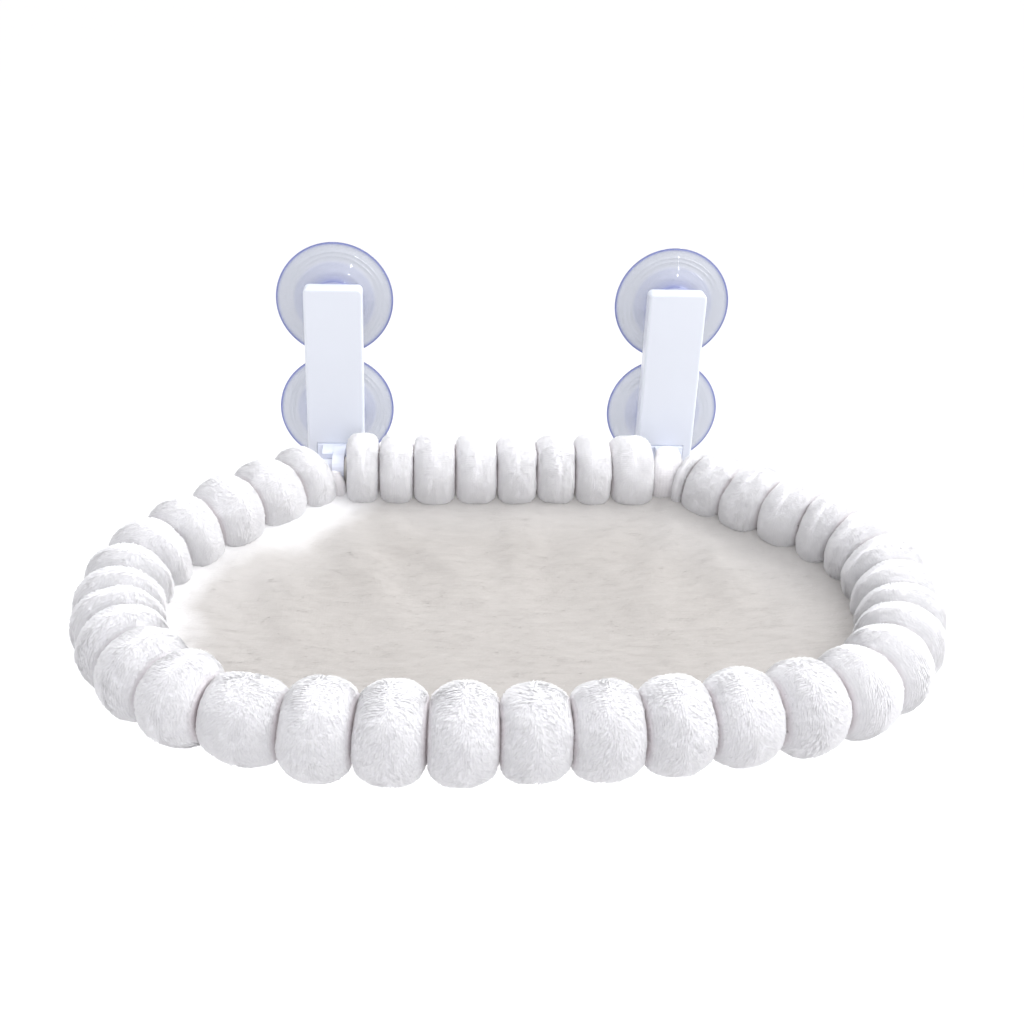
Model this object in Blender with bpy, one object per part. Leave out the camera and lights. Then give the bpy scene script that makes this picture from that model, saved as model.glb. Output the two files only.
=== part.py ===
"""Cat window hammock: a plush ring bed that folds up on two suction cup brackets.

+X runs along the window, +Y into the glass and +Z up. The glass is the plane Y = 0,
and the origin is the middle of the four suction cups on it. The bed turns about its
straight back tube, so everything on the bed is drawn level, from that tube's axis,
under one empty that carries the droop of the bed at rest.
"""
import math

import bmesh
import bpy
from mathutils import Matrix, Vector

MM = 0.001
GAP = 0.3 * MM
OVERRUN = 2.0 * MM
WELD = 0.001 * MM

# Suction cups
CUP_SPREAD = 234.0 * MM
CUP_RADIUS = 40.0 * MM
CUP_TO_CUP = 0.4 * MM
CUP_LIP = 3.0 * MM
CUP_EDGE = 0.9 * MM
CUP_HOLLOW = 2.8 * MM
CUP_FLOOR = 1.9 * MM
CUP_FLANGE_RISE = 2.5 * MM
CUP_STEP_RADIUS = 26.5 * MM
CUP_STEP = 1.4 * MM
CUP_DOME_RISE = 3.8 * MM
CUP_HUB_RADIUS = 15.5 * MM
CUP_HUB_EDGE = 0.8 * MM
CUP_HEIGHT = 12.0 * MM
CUP_HOLLOW_SHARES = ((0.5, 0.86), (0.8, 0.42))

# Studs moulded into the cups, with their nuts and washers
STUD_RADIUS = 2.4 * MM
STUD_HEAD_RADIUS = 5.5 * MM
STUD_HEAD_THICK = 2.0 * MM
STUD_TIP = 0.6 * MM
WASHER_RADIUS = 5.2 * MM
WASHER_THICK = 1.0 * MM
NUT_FLATS = 8.0 * MM
NUT_THICK = 3.9 * MM

# Bracket body and its cover
COVER_WIDTH = 39.5 * MM
COVER_DEPTH = 11.7 * MM
COVER_WALL = 2.0 * MM
COVER_CORNER = 3.5 * MM
COVER_EDGE = 1.6 * MM
COVER_ABOVE_CUP = 14.3 * MM
COVER_BELOW_CUP = 30.8 * MM
NOTCH_WIDTH = 27.0 * MM
NOTCH_HEIGHT = 14.0 * MM
PLATE_THICK = 3.0 * MM
RIB_THICK = 1.6 * MM
RIB_DEPTH = 3.0 * MM
RIB_INSET = 1.2 * MM
FOOT_EDGE = 1.2 * MM
FOOT_BEVEL = 1.5 * MM

# Screws that hold the cover from behind
SCREW_PITCH = 18.0 * MM
SCREW_RADIUS = 1.4 * MM
SCREW_HEAD_RADIUS = 2.9 * MM
SCREW_HEAD_THICK = 1.3 * MM
SCREW_LENGTH = 7.0 * MM
BOSS_WALL = 1.8 * MM

# Hinge at the foot of each bracket
COVER_TO_ROLL = 1.5 * MM
HINGE_DROP = 25.8 * MM
BED_DROOP = math.radians(5.7)
EYE_WIDTH = 8.0 * MM
EYE_WALL = 3.0 * MM
BUSH_WALL = 1.5 * MM
BUSH_FLANGE = 1.2 * MM
BUSH_FLANGE_RISE = 1.6 * MM
LEDGE_REACH = 13.5 * MM
LEDGE_THICK = 4.6 * MM
LEDGE_WIDTH = 8.0 * MM
HEEL_REACH = 15.0 * MM
HEEL_TOP = 3.0 * MM
HEEL_DEPTH = 5.0 * MM
HEEL_WIDTH = 6.0 * MM

# Tube frame
TUBE_RADIUS = 6.5 * MM
TUBE_WALL = 1.0 * MM
SPIGOT_LENGTH = 25.0 * MM
ELBOW_RADIUS = 8.0 * MM
ELBOW_SPREAD = 244.0 * MM
ELBOW_INNER = 3.7 * MM
ELBOW_OUTER = 6.0 * MM
ELBOW_ANGLE = math.radians(45)
SIDE_RUN = 113.5 * MM
SIDE_BEND_RADIUS = 99.0 * MM
SIDE_BEND_ANGLE = math.radians(120.4)

# Plush rolls
CROWN_RADIUS = 26.5 * MM
SEAM_RADIUS = 17.0 * MM
ROLL_END = 4.0 * MM
ROLL_END_TILT = math.radians(25)
SIDE_ROLL_LENGTH = 300.0 * MM
FRONT_PUFFS = 9
# Grooves of a side roll, from the hinge to the front: the puffs crowd together in the bend
SIDE_SEAM_SHARES = (0.0, 0.073, 0.19, 0.3, 0.407, 0.505, 0.587, 0.653, 0.713, 0.792, 0.893, 1.0)
# Grooves of the back roll, from left to right
BACK_SEAM_SHARES = (0.0, 0.106, 0.216, 0.353, 0.487, 0.616, 0.742, 0.861, 1.0)
# Each puff swells and closes again: shares of its length, and of the rise from seam to crown
PUFF_SHARES = ((0.07, 0.62), (0.28, 1.0), (0.72, 1.0), (0.93, 0.62))
BORE_EASE = 1.1 * MM

# Bed cloth
SHEET_LEVEL = 9.0 * MM
SHEET_SAG = 15.0 * MM
SHEET_THICK = 4.0 * MM
CLOTH_THICK = 1.5 * MM
SHEET_RING_SHARES = (1.0, 0.94, 0.82, 0.66, 0.46, 0.24)
FOLD_HEIGHT = 4.0 * MM
FOLD_WIDTH = 13.0 * MM
FOLD_END_SHARE = 0.2
FOLD_EDGE_SHARE = 0.25
BACK_EDGE_SHARES = (0.0, 0.34, 0.68)
# Each fold runs between two places, in shares of the half width and of the depth
FOLD_SHARES = (
    ((-0.52, 0.13), (-0.30, 0.62)),
    ((-0.56, 0.30), (-0.70, 0.66)),
    ((0.52, 0.13), (0.34, 0.55)),
    ((0.58, 0.26), (0.72, 0.60)),
    ((0.06, 0.14), (0.02, 0.50)),
)

ROUND_SIDES = 28
SMALL_ROUND_SIDES = 12
TUBE_SIDES = 12
BEND_STEPS = 12
FRONT_STEPS = 5

BRACKET_X = CUP_SPREAD / 2
CUP_PITCH = 2 * CUP_RADIUS + CUP_TO_CUP
BACK_Y = -(CUP_HEIGHT + GAP)
PLATE_Y = BACK_Y - PLATE_THICK
FRONT_Y = BACK_Y - COVER_DEPTH
INNER_Y = FRONT_Y + COVER_WALL
COVER_TOP = CUP_PITCH / 2 + COVER_ABOVE_CUP
COVER_FOOT = -CUP_PITCH / 2 - COVER_BELOW_CUP
NOTCH_TOP = COVER_FOOT + NOTCH_HEIGHT
HINGE_Y = FRONT_Y - COVER_TO_ROLL - CROWN_RADIUS
HINGE_Z = -CUP_PITCH / 2 - HINGE_DROP
TUBE_BORE = TUBE_RADIUS - TUBE_WALL
SHEET_REACH = CROWN_RADIUS * math.cos(math.pi / TUBE_SIDES) + GAP
SHEET_INSET = math.sqrt(SHEET_REACH ** 2 - SHEET_LEVEL ** 2)
ELBOW_X = ELBOW_SPREAD / 2
EYE_OUT = ELBOW_X - ELBOW_INNER - GAP
EYE_IN = EYE_OUT - EYE_WIDTH
BUSH_RADIUS = TUBE_RADIUS + GAP + BUSH_WALL
EYE_BORE = BUSH_RADIUS + GAP
EYE_RADIUS = EYE_BORE + EYE_WALL


def linear(value):
    return value / 12.92 if value <= 0.04045 else ((value + 0.055) / 1.055) ** 2.4


def finish(name, colour, roughness, metallic=0.0, transmission=0.0):
    """A Principled material from an sRGB hex colour."""
    material = bpy.data.materials.new(name)
    material.use_nodes = True
    shader = material.node_tree.nodes["Principled BSDF"]
    rgb = [linear(int(colour[i:i + 2], 16) / 255) for i in (0, 2, 4)]
    shader.inputs["Base Color"].default_value = (*rgb, 1)
    shader.inputs["Roughness"].default_value = roughness
    shader.inputs["Metallic"].default_value = metallic
    shader.inputs["Transmission Weight"].default_value = transmission
    return material


def new_verts(grown):
    return [item for item in grown["geom"] if isinstance(item, bmesh.types.BMVert)]


def tidy(bm):
    bmesh.ops.remove_doubles(bm, verts=bm.verts, dist=WELD)
    bmesh.ops.recalc_face_normals(bm, faces=bm.faces)
    return bm


def mirrored(bm, side):
    """The right-hand shape, or its mirror image for the left."""
    if side < 0:
        bmesh.ops.scale(bm, vec=(-1, 1, 1), verts=bm.verts)
        bmesh.ops.recalc_face_normals(bm, faces=bm.faces)
    return bm


def turned(profile, steps, ring=False):
    """A solid of revolution about +Z from (radius, height) points."""
    bm = bmesh.new()
    verts = [bm.verts.new((radius, 0, height)) for radius, height in profile]
    edges = [bm.edges.new(pair) for pair in zip(verts, verts[1:])]
    if ring:
        edges.append(bm.edges.new((verts[-1], verts[0])))
    bmesh.ops.spin(bm, geom=verts + edges, cent=(0, 0, 0), axis=(0, 0, 1), dvec=(0, 0, 0),
                   angle=math.tau, steps=steps, use_merge=True, use_duplicate=False)
    return tidy(bm)


def block(low, high):
    """A box between two opposite corners."""
    bm = bmesh.new()
    size = Vector(high) - Vector(low)
    centre = (Vector(high) + Vector(low)) / 2
    bmesh.ops.create_cube(bm, size=1, matrix=Matrix.Translation(centre) @ Matrix.Diagonal((*size, 1)))
    return bm


def prism(outline, low, high):
    """An outline of (y, z) points carried along X."""
    bm = bmesh.new()
    face = bm.faces.new([bm.verts.new((low, y, z)) for y, z in outline])
    grown = bmesh.ops.extrude_face_region(bm, geom=[face])
    bmesh.ops.translate(bm, vec=(high - low, 0, 0), verts=new_verts(grown))
    return tidy(bm)


def peg(radius, low, high, steps=SMALL_ROUND_SIDES):
    """A plain cylinder along +Z."""
    return turned([(0, low), (radius, low), (radius, high), (0, high)], steps)


def along_x(bm, y, z):
    """Lay a shape that was turned about +Z along X, through (y, z)."""
    turn = Matrix.Translation((0, y, z)) @ Matrix.Rotation(math.pi / 2, 4, "Y")
    bmesh.ops.transform(bm, matrix=turn, verts=bm.verts)
    return bm


def from_glass(bm, x, z):
    """Stand a shape that was turned about +Z on the glass at (x, z), pointing to the room."""
    turn = Matrix.Translation((x, 0, z)) @ Matrix.Rotation(math.pi / 2, 4, "X")
    bmesh.ops.transform(bm, matrix=turn, verts=bm.verts)
    return bm


def swept(stations, sides, closed=False):
    """A round skin through a row of placed unit circles; closed joins the last to the first."""
    bm = bmesh.new()
    circle = bmesh.ops.create_circle(bm, segments=sides, radius=1, matrix=stations[0])
    ring = list(bm.edges)
    if not closed:
        bm.faces.new(circle["verts"])
    for before, after in zip(stations, stations[1:]):
        grown = bmesh.ops.extrude_edge_only(bm, edges=ring)
        verts = new_verts(grown)
        fresh = set(verts)
        ring = [item for item in grown["geom"] if isinstance(item, bmesh.types.BMEdge)
                and fresh.issuperset(item.verts)]
        bmesh.ops.transform(bm, matrix=after @ before.inverted(), verts=verts)
    if not closed:
        bmesh.ops.contextual_create(bm, geom=ring)
    return tidy(bm)


def piece(name, bm, material, parent=None):
    """An object from a finished mesh, flat where its faces turn sharply."""
    mesh = bpy.data.meshes.new(name)
    bm.to_mesh(mesh)
    bm.free()
    mesh.materials.append(material)
    mesh.shade_smooth()
    mesh.set_sharp_from_angle(angle=math.radians(32))
    made = bpy.data.objects.new(name, mesh)
    bpy.context.scene.collection.objects.link(made)
    made.parent = parent
    return made


def shape_with(target, operation, bm):
    """Join a helper shape to a piece, or cut it away."""
    index = len(target.modifiers) + 1
    mesh = bpy.data.meshes.new(f"{target.name}_helper_{index}")
    bm.to_mesh(mesh)
    bm.free()
    helper = bpy.data.objects.new(mesh.name, mesh)
    helper.hide_render = True
    helper.display_type = "WIRE"
    helper.parent = target.parent
    bpy.context.scene.collection.objects.link(helper)
    cut = target.modifiers.new(f"shape {index}", "BOOLEAN")
    cut.operation = operation
    cut.solver = "EXACT"
    cut.object = helper


def rim_stretches():
    """The half ring from the middle of the back: straight, run, side bend, front arc."""
    heading = ELBOW_ANGLE
    corner = Vector((ELBOW_X, 0, 0))
    bend_start = corner + SIDE_RUN * Vector((math.cos(heading), -math.sin(heading), 0))
    turn_end = heading + SIDE_BEND_ANGLE
    bend_middle = bend_start - SIDE_BEND_RADIUS * Vector((math.sin(heading), math.cos(heading), 0))
    bend_end = bend_middle + SIDE_BEND_RADIUS * Vector((math.sin(turn_end), math.cos(turn_end), 0))
    front_radius = bend_end.x / math.sin(turn_end)
    return (
        (ELBOW_X, Vector((0, 0, 0)), 0.0, None),
        (SIDE_RUN, corner, heading, None),
        (SIDE_BEND_RADIUS * SIDE_BEND_ANGLE, bend_start, heading, SIDE_BEND_RADIUS),
        (front_radius * (math.pi - turn_end), bend_end, turn_end, front_radius),
    )


STRETCHES = rim_stretches()
BEND_FROM = ELBOW_X + SIDE_RUN
BEND_LENGTH = STRETCHES[2][0]
ROLL_FROM = ELBOW_X + ELBOW_OUTER + ROLL_END
HALF_LENGTH = sum(stretch[0] for stretch in STRETCHES)
BED_DEPTH = -(STRETCHES[3][1].y - STRETCHES[3][3] * (1 + math.cos(STRETCHES[3][2])))
BED_HALF_WIDTH = STRETCHES[2][1].x + SIDE_BEND_RADIUS * (1 - math.sin(ELBOW_ANGLE))


def rim_place(travel):
    """The point and heading on the ring at a distance from the middle of the back.

    The heading turns clockwise, seen from above. Past the middle of the front the
    ring comes back along the left side.
    """
    if travel > HALF_LENGTH:
        point, heading = rim_place(2 * HALF_LENGTH - travel)
        return Vector((-point.x, point.y, 0)), math.tau - heading
    left = travel
    for index, (length, start, heading, radius) in enumerate(STRETCHES):
        if left <= length or index == len(STRETCHES) - 1:
            break
        left -= length
    if radius is None:
        return start + left * Vector((math.cos(heading), -math.sin(heading), 0)), heading
    turned_to = heading + left / radius
    middle = start - radius * Vector((math.sin(heading), math.cos(heading), 0))
    return middle + radius * Vector((math.sin(turned_to), math.cos(turned_to), 0)), turned_to


def station(travel, radius):
    """A circle of the ring's tube, square to its path."""
    point, heading = rim_place(travel)
    return placed_circle(point, heading, radius)


def roll_station(travel, radius):
    """As station, but the two ends of the roll lean towards the back roll."""
    point, heading = rim_place(travel)
    if travel < ROLL_FROM + GAP:
        heading -= ROLL_END_TILT
    if travel > 2 * HALF_LENGTH - ROLL_FROM - GAP:
        heading += ROLL_END_TILT
    return placed_circle(point, heading, radius)


def placed_circle(point, heading, radius, stretch=1.0):
    outward = Vector((math.sin(heading), math.cos(heading), 0)) * radius * stretch
    ahead = Vector((math.cos(heading), -math.sin(heading), 0))
    place = Matrix.Translation(point)
    for row in range(3):
        place[row][0] = outward[row]
        place[row][1] = radius if row == 2 else 0
        place[row][2] = ahead[row]
    return place


def cup_profile():
    lip = CUP_RADIUS - CUP_LIP
    floor = CUP_HOLLOW + CUP_FLOOR
    roof = floor + STUD_HEAD_THICK + 2 * GAP
    flange = CUP_EDGE + CUP_FLANGE_RISE
    hollow = [(lip * out, CUP_HOLLOW * deep) for out, deep in CUP_HOLLOW_SHARES]
    return [
        (0, CUP_HOLLOW),
        *hollow,
        (lip, 0),
        (CUP_RADIUS, 0),
        (CUP_RADIUS, CUP_EDGE),
        (CUP_STEP_RADIUS + CUP_STEP, flange),
        (CUP_STEP_RADIUS, flange + CUP_STEP),
        (CUP_HUB_RADIUS + CUP_HUB_EDGE, flange + CUP_STEP + CUP_DOME_RISE),
        (CUP_HUB_RADIUS, flange + CUP_STEP + CUP_DOME_RISE + CUP_HUB_EDGE),
        (CUP_HUB_RADIUS, CUP_HEIGHT - CUP_HUB_EDGE),
        (CUP_HUB_RADIUS - CUP_HUB_EDGE, CUP_HEIGHT),
        (STUD_RADIUS + GAP, CUP_HEIGHT),
        (STUD_RADIUS + GAP, roof),
        (STUD_HEAD_RADIUS + GAP, roof),
        (STUD_HEAD_RADIUS + GAP, floor),
        (0, floor),
    ]


def make_cup(name, x, z):
    piece(name, from_glass(turned(cup_profile(), ROUND_SIDES), x, z), CLEAR_PVC)


def make_stud(name, x, z):
    head = CUP_HOLLOW + CUP_FLOOR + GAP
    tip = -INNER_Y - GAP
    profile = [(0, head), (STUD_HEAD_RADIUS, head), (STUD_HEAD_RADIUS, head + STUD_HEAD_THICK),
               (STUD_RADIUS, head + STUD_HEAD_THICK), (STUD_RADIUS, tip - STUD_TIP),
               (STUD_RADIUS - STUD_TIP, tip), (0, tip)]
    piece(name, from_glass(turned(profile, SMALL_ROUND_SIDES), x, z), ZINC_STEEL)


def make_washer(name, x, z):
    low = -PLATE_Y + GAP
    hole = STUD_RADIUS + GAP
    profile = [(hole, low), (WASHER_RADIUS, low), (WASHER_RADIUS, low + WASHER_THICK),
               (hole, low + WASHER_THICK)]
    piece(name, from_glass(turned(profile, SMALL_ROUND_SIDES, ring=True), x, z), ZINC_STEEL)


def make_nut(name, x, z):
    low = -PLATE_Y + 2 * GAP + WASHER_THICK
    corner = NUT_FLATS / 2 / math.cos(math.pi / 6)
    nut = piece(name, from_glass(peg(corner, low, low + NUT_THICK, 6), x, z), ZINC_STEEL)
    hole = peg(STUD_RADIUS + GAP, low - OVERRUN, low + NUT_THICK + OVERRUN)
    shape_with(nut, "DIFFERENCE", from_glass(hole, x, z))


def make_cover_screw(name, x, z):
    head = -BACK_Y + GAP
    neck = head + SCREW_HEAD_THICK
    tip = head + SCREW_LENGTH
    profile = [(0, head), (SCREW_HEAD_RADIUS, head), (SCREW_HEAD_RADIUS, neck),
               (SCREW_RADIUS, neck), (SCREW_RADIUS, tip - SCREW_RADIUS), (0, tip)]
    piece(name, from_glass(turned(profile, SMALL_ROUND_SIDES), x, z), ZINC_STEEL)


def make_bracket_body(name, side):
    """The moulded plate behind the cover, with the foot and hinge eye that carry the bed."""
    half = COVER_WIDTH / 2 - COVER_WALL - GAP
    low = COVER_FOOT + GAP
    high = COVER_TOP - COVER_WALL - GAP
    plate = block((BRACKET_X - half, PLATE_Y, low), (BRACKET_X + half, BACK_Y, high))
    body = piece(name, mirrored(plate, side), WHITE_ABS)

    root_half = NOTCH_WIDTH / 2 - GAP
    root_top = NOTCH_TOP - GAP
    root_y = FRONT_Y - GAP
    within = PLATE_Y + PLATE_THICK / 2
    root = prism([(within, root_top), (root_y + FOOT_EDGE, root_top), (root_y, root_top - FOOT_EDGE),
                  (root_y, low + FOOT_EDGE), (root_y + FOOT_EDGE, low), (within, low)],
                 BRACKET_X - root_half, BRACKET_X + root_half)
    shape_with(body, "UNION", mirrored(root, side))

    inside = root_y + FOOT_EDGE + OVERRUN
    arm = prism([(inside, root_top - FOOT_EDGE), (HINGE_Y, HINGE_Z + EYE_RADIUS - FOOT_EDGE),
                 (HINGE_Y, HINGE_Z - EYE_RADIUS + FOOT_EDGE), (inside, low + FOOT_EDGE)], EYE_IN, EYE_OUT)
    shape_with(body, "UNION", mirrored(arm, side))
    eye = peg(EYE_RADIUS, EYE_IN, EYE_OUT, ROUND_SIDES)
    shape_with(body, "UNION", mirrored(along_x(eye, HINGE_Y, HINGE_Z), side))

    ledge_low = HINGE_Z + HEEL_TOP + GAP
    ledge_y = root_y - LEDGE_REACH
    ledge = prism([(inside, root_top - FOOT_EDGE), (ledge_y + FOOT_EDGE, ledge_low + LEDGE_THICK),
                   (ledge_y, ledge_low + LEDGE_THICK - FOOT_EDGE), (ledge_y, ledge_low),
                   (inside, ledge_low)], EYE_OUT - EYE_WIDTH / 2, EYE_OUT + LEDGE_WIDTH)
    shape_with(body, "UNION", mirrored(ledge, side))

    rib_x = half - RIB_INSET - RIB_THICK
    for offset in (-rib_x - RIB_THICK, rib_x):
        rib = block((BRACKET_X + offset, PLATE_Y - RIB_DEPTH, root_top - OVERRUN),
                    (BRACKET_X + offset + RIB_THICK, within, high - RIB_INSET))
        shape_with(body, "UNION", mirrored(rib, side))

    x = side * BRACKET_X
    for z in (CUP_PITCH / 2, -CUP_PITCH / 2):
        hole = peg(STUD_RADIUS + GAP, -BACK_Y - OVERRUN, -PLATE_Y + OVERRUN)
        shape_with(body, "DIFFERENCE", from_glass(hole, x, z))
    for z in (SCREW_PITCH / 2, -SCREW_PITCH / 2):
        seat = -BACK_Y + SCREW_HEAD_THICK + 2 * GAP
        wide = SCREW_HEAD_RADIUS + GAP
        thin = SCREW_RADIUS + GAP
        hole = turned([(0, -BACK_Y - OVERRUN), (wide, -BACK_Y - OVERRUN), (wide, seat), (thin, seat),
                       (thin, -PLATE_Y + OVERRUN), (0, -PLATE_Y + OVERRUN)], SMALL_ROUND_SIDES)
        shape_with(body, "DIFFERENCE", from_glass(hole, x, z))
    bore = peg(EYE_BORE, EYE_IN - OVERRUN, EYE_OUT + OVERRUN, ROUND_SIDES)
    shape_with(body, "DIFFERENCE", mirrored(along_x(bore, HINGE_Y, HINGE_Z), side))


def make_front_cover(name, side):
    """The smooth shell over the nuts, open behind and below, with a notch for the foot."""
    half = COVER_WIDTH / 2
    shell = block((BRACKET_X - half, FRONT_Y, COVER_FOOT), (BRACKET_X + half, BACK_Y, COVER_TOP))
    top_corners = [edge for edge in shell.edges
                   if all(vert.co.z > 0 for vert in edge.verts)
                   and abs(edge.verts[0].co.x - edge.verts[1].co.x) < WELD]
    bmesh.ops.bevel(shell, geom=top_corners, offset=COVER_CORNER, segments=4, profile=0.5,
                    affect="EDGES", material=-1)
    front = [edge for edge in shell.edges
             if all(abs(vert.co.y - FRONT_Y) < WELD for vert in edge.verts)
             and not all(abs(vert.co.z - COVER_FOOT) < WELD for vert in edge.verts)]
    bmesh.ops.bevel(shell, geom=front, offset=COVER_EDGE, segments=3, profile=0.5,
                    affect="EDGES", material=-1)
    cover = piece(name, mirrored(shell, side), COVER_ABS)

    inner = half - COVER_WALL
    room = block((BRACKET_X - inner, INNER_Y, COVER_FOOT - OVERRUN),
                 (BRACKET_X + inner, BACK_Y + OVERRUN, COVER_TOP - COVER_WALL))
    shape_with(cover, "DIFFERENCE", mirrored(room, side))
    notch = block((BRACKET_X - NOTCH_WIDTH / 2, FRONT_Y - OVERRUN, COVER_FOOT - OVERRUN),
                  (BRACKET_X + NOTCH_WIDTH / 2, INNER_Y + OVERRUN, NOTCH_TOP))
    shape_with(cover, "DIFFERENCE", mirrored(notch, side))

    pilot = SCREW_RADIUS + GAP
    low = -PLATE_Y + GAP
    end = -BACK_Y + SCREW_LENGTH + 2 * GAP
    for z in (SCREW_PITCH / 2, -SCREW_PITCH / 2):
        boss = peg(pilot + BOSS_WALL, low, -INNER_Y + COVER_WALL / 2)
        shape_with(cover, "UNION", from_glass(boss, side * BRACKET_X, z))
        hole = peg(pilot, low - OVERRUN, end)
        shape_with(cover, "DIFFERENCE", from_glass(hole, side * BRACKET_X, z))


def make_hinge_bush(name, side):
    """The flanged plastic bush in the eye that the back tube turns in."""
    bore = TUBE_RADIUS + GAP
    flange = BUSH_RADIUS + BUSH_FLANGE_RISE
    inner_face = EYE_IN - GAP
    profile = [(bore, inner_face - BUSH_FLANGE), (flange, inner_face - BUSH_FLANGE),
               (flange, inner_face), (BUSH_RADIUS, inner_face), (BUSH_RADIUS, EYE_OUT), (bore, EYE_OUT)]
    bush = along_x(turned(profile, ROUND_SIDES, ring=True), HINGE_Y, HINGE_Z)
    piece(name, mirrored(bush, side), NYLON)


def make_elbow(name, side):
    """The angle connector at a corner of the frame, with the heel that stops the bed level."""
    shoulder = ELBOW_X - ELBOW_INNER
    spigot = TUBE_BORE - GAP
    corner = Vector((ELBOW_X, 0, 0))
    ahead = Vector((math.cos(ELBOW_ANGLE), -math.sin(ELBOW_ANGLE), 0))
    out = corner + ELBOW_OUTER * ahead
    mitre = 1 / math.cos(ELBOW_ANGLE / 2)
    skin = swept([
        placed_circle(Vector((shoulder - SPIGOT_LENGTH, 0, 0)), 0, spigot),
        placed_circle(Vector((shoulder, 0, 0)), 0, spigot),
        placed_circle(Vector((shoulder, 0, 0)), 0, ELBOW_RADIUS),
        placed_circle(corner, ELBOW_ANGLE / 2, ELBOW_RADIUS, mitre),
        placed_circle(out, ELBOW_ANGLE, ELBOW_RADIUS),
        placed_circle(out, ELBOW_ANGLE, spigot),
        placed_circle(out + SPIGOT_LENGTH * ahead, ELBOW_ANGLE, spigot),
    ], 16)
    elbow = piece(name, mirrored(skin, side), GREY_NYLON, BED)

    heel_low = HEEL_TOP - HEEL_DEPTH - FOOT_BEVEL
    heel = prism([(0, HEEL_TOP), (HEEL_REACH, HEEL_TOP), (HEEL_REACH, HEEL_TOP - FOOT_BEVEL),
                  (ELBOW_RADIUS, heel_low), (0, heel_low)],
                 shoulder + GAP, shoulder + GAP + HEEL_WIDTH)
    bmesh.ops.rotate(heel, cent=(0, 0, 0), matrix=Matrix.Rotation(-BED_DROOP, 3, "X"), verts=heel.verts)
    shape_with(elbow, "UNION", mirrored(heel, side))


def tube_travels(start, end):
    """Where a hoop's tube needs a ring: few on straight runs, even steps on the bends."""
    bend = [BEND_FROM + BEND_LENGTH * step / BEND_STEPS for step in range(BEND_STEPS + 1)]
    front_from = BEND_FROM + BEND_LENGTH
    plug = HALF_LENGTH - SPIGOT_LENGTH
    front = [front_from + (plug - front_from) * step / FRONT_STEPS for step in range(1, FRONT_STEPS + 1)]
    return [start, *bend, *front, end]


def make_tube(name, travels, side=1):
    """A bent steel tube with its real bore."""
    outer = [station(travel, TUBE_RADIUS) for travel in travels]
    inner = [station(travel, TUBE_BORE) for travel in reversed(travels)]
    skin = swept([*outer, *inner, outer[0]], TUBE_SIDES, closed=True)
    piece(name, mirrored(skin, side), COATED_STEEL, BED)


def make_back_tube():
    end = ELBOW_X - ELBOW_INNER - GAP
    outer = [placed_circle(Vector((x, 0, 0)), 0, TUBE_RADIUS) for x in (-end, end)]
    inner = [placed_circle(Vector((x, 0, 0)), 0, TUBE_BORE) for x in (end, -end)]
    piece("back_tube", swept([*outer, *inner, outer[0]], ROUND_SIDES, closed=True), COATED_STEEL, BED)


def make_hoop_splice():
    """The plug that joins the two hoops at the middle of the front."""
    radius = TUBE_BORE - GAP
    travels = (HALF_LENGTH - SPIGOT_LENGTH, HALF_LENGTH - GAP / 2, HALF_LENGTH + GAP / 2,
               HALF_LENGTH + SPIGOT_LENGTH)
    splice = swept([station(travel, radius) for travel in travels], TUBE_SIDES)
    piece("hoop_splice", splice, GREY_NYLON, BED)


def seams_between(start, end, shares):
    return [start + (end - start) * share for share in shares]


def make_roll(name, seams, place):
    """A soft roll on the tube: a row of stuffed puffs, pinched at each seam."""
    seams = [seams[0] + GAP / 2, *seams[1:-1], seams[-1] - GAP / 2]
    swell = CROWN_RADIUS - SEAM_RADIUS
    outer = []
    for start, end in zip(seams, seams[1:]):
        outer.append(place(start, SEAM_RADIUS))
        outer += [place(start + (end - start) * along, SEAM_RADIUS + swell * rise)
                  for along, rise in PUFF_SHARES]
    outer.append(place(seams[-1], SEAM_RADIUS))
    bore = (TUBE_RADIUS + BORE_EASE) / math.cos(math.pi / TUBE_SIDES)
    inner = [place(seam, bore) for seam in reversed(seams)]
    piece(name, swept([*outer, *inner, outer[0]], TUBE_SIDES, closed=True), PLUSH, BED)


def bed_outline(inset):
    """The inner edge of the ring, as an outline of points round the bed cloth."""
    trim = inset * math.tan(ELBOW_ANGLE / 2)
    back = ELBOW_X - trim
    run = (SIDE_RUN - trim) / 4
    travels = [back * share for share in BACK_EDGE_SHARES]
    half = [Vector((travel, -inset, 0)) for travel in travels]
    half.append(Vector((back, -inset, 0)))
    first = ELBOW_X + trim
    travels = [first + run * step for step in range(1, 4)]
    travels += [BEND_FROM + BEND_LENGTH * step / 8 for step in range(9)]
    front_from = BEND_FROM + BEND_LENGTH
    travels += [front_from + (HALF_LENGTH - front_from) * step / 5 for step in range(1, 6)]
    for travel in travels:
        point, heading = rim_place(travel)
        half.append(point - inset * Vector((math.sin(heading), math.cos(heading), 0)))
    return half + [Vector((-point.x, point.y, 0)) for point in reversed(half[1:-1])]


def fold_height(x, y):
    """Soft ridges of the cloth, highest along each fold and fading out to its ends."""
    height = 0.0
    place = Vector((x, y))
    for start, end in FOLD_SHARES:
        first = Vector((start[0] * BED_HALF_WIDTH, -start[1] * BED_DEPTH))
        last = Vector((end[0] * BED_HALF_WIDTH, -end[1] * BED_DEPTH))
        run = last - first
        along = min(max((place - first).dot(run) / run.length_squared, 0), 1)
        away = (place - first - run * along).length / FOLD_WIDTH
        swell = math.sin(math.pi * (FOLD_END_SHARE + (1 - FOLD_END_SHARE) * along))
        height += FOLD_HEIGHT * math.exp(-away * away) * swell
    return height


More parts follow.
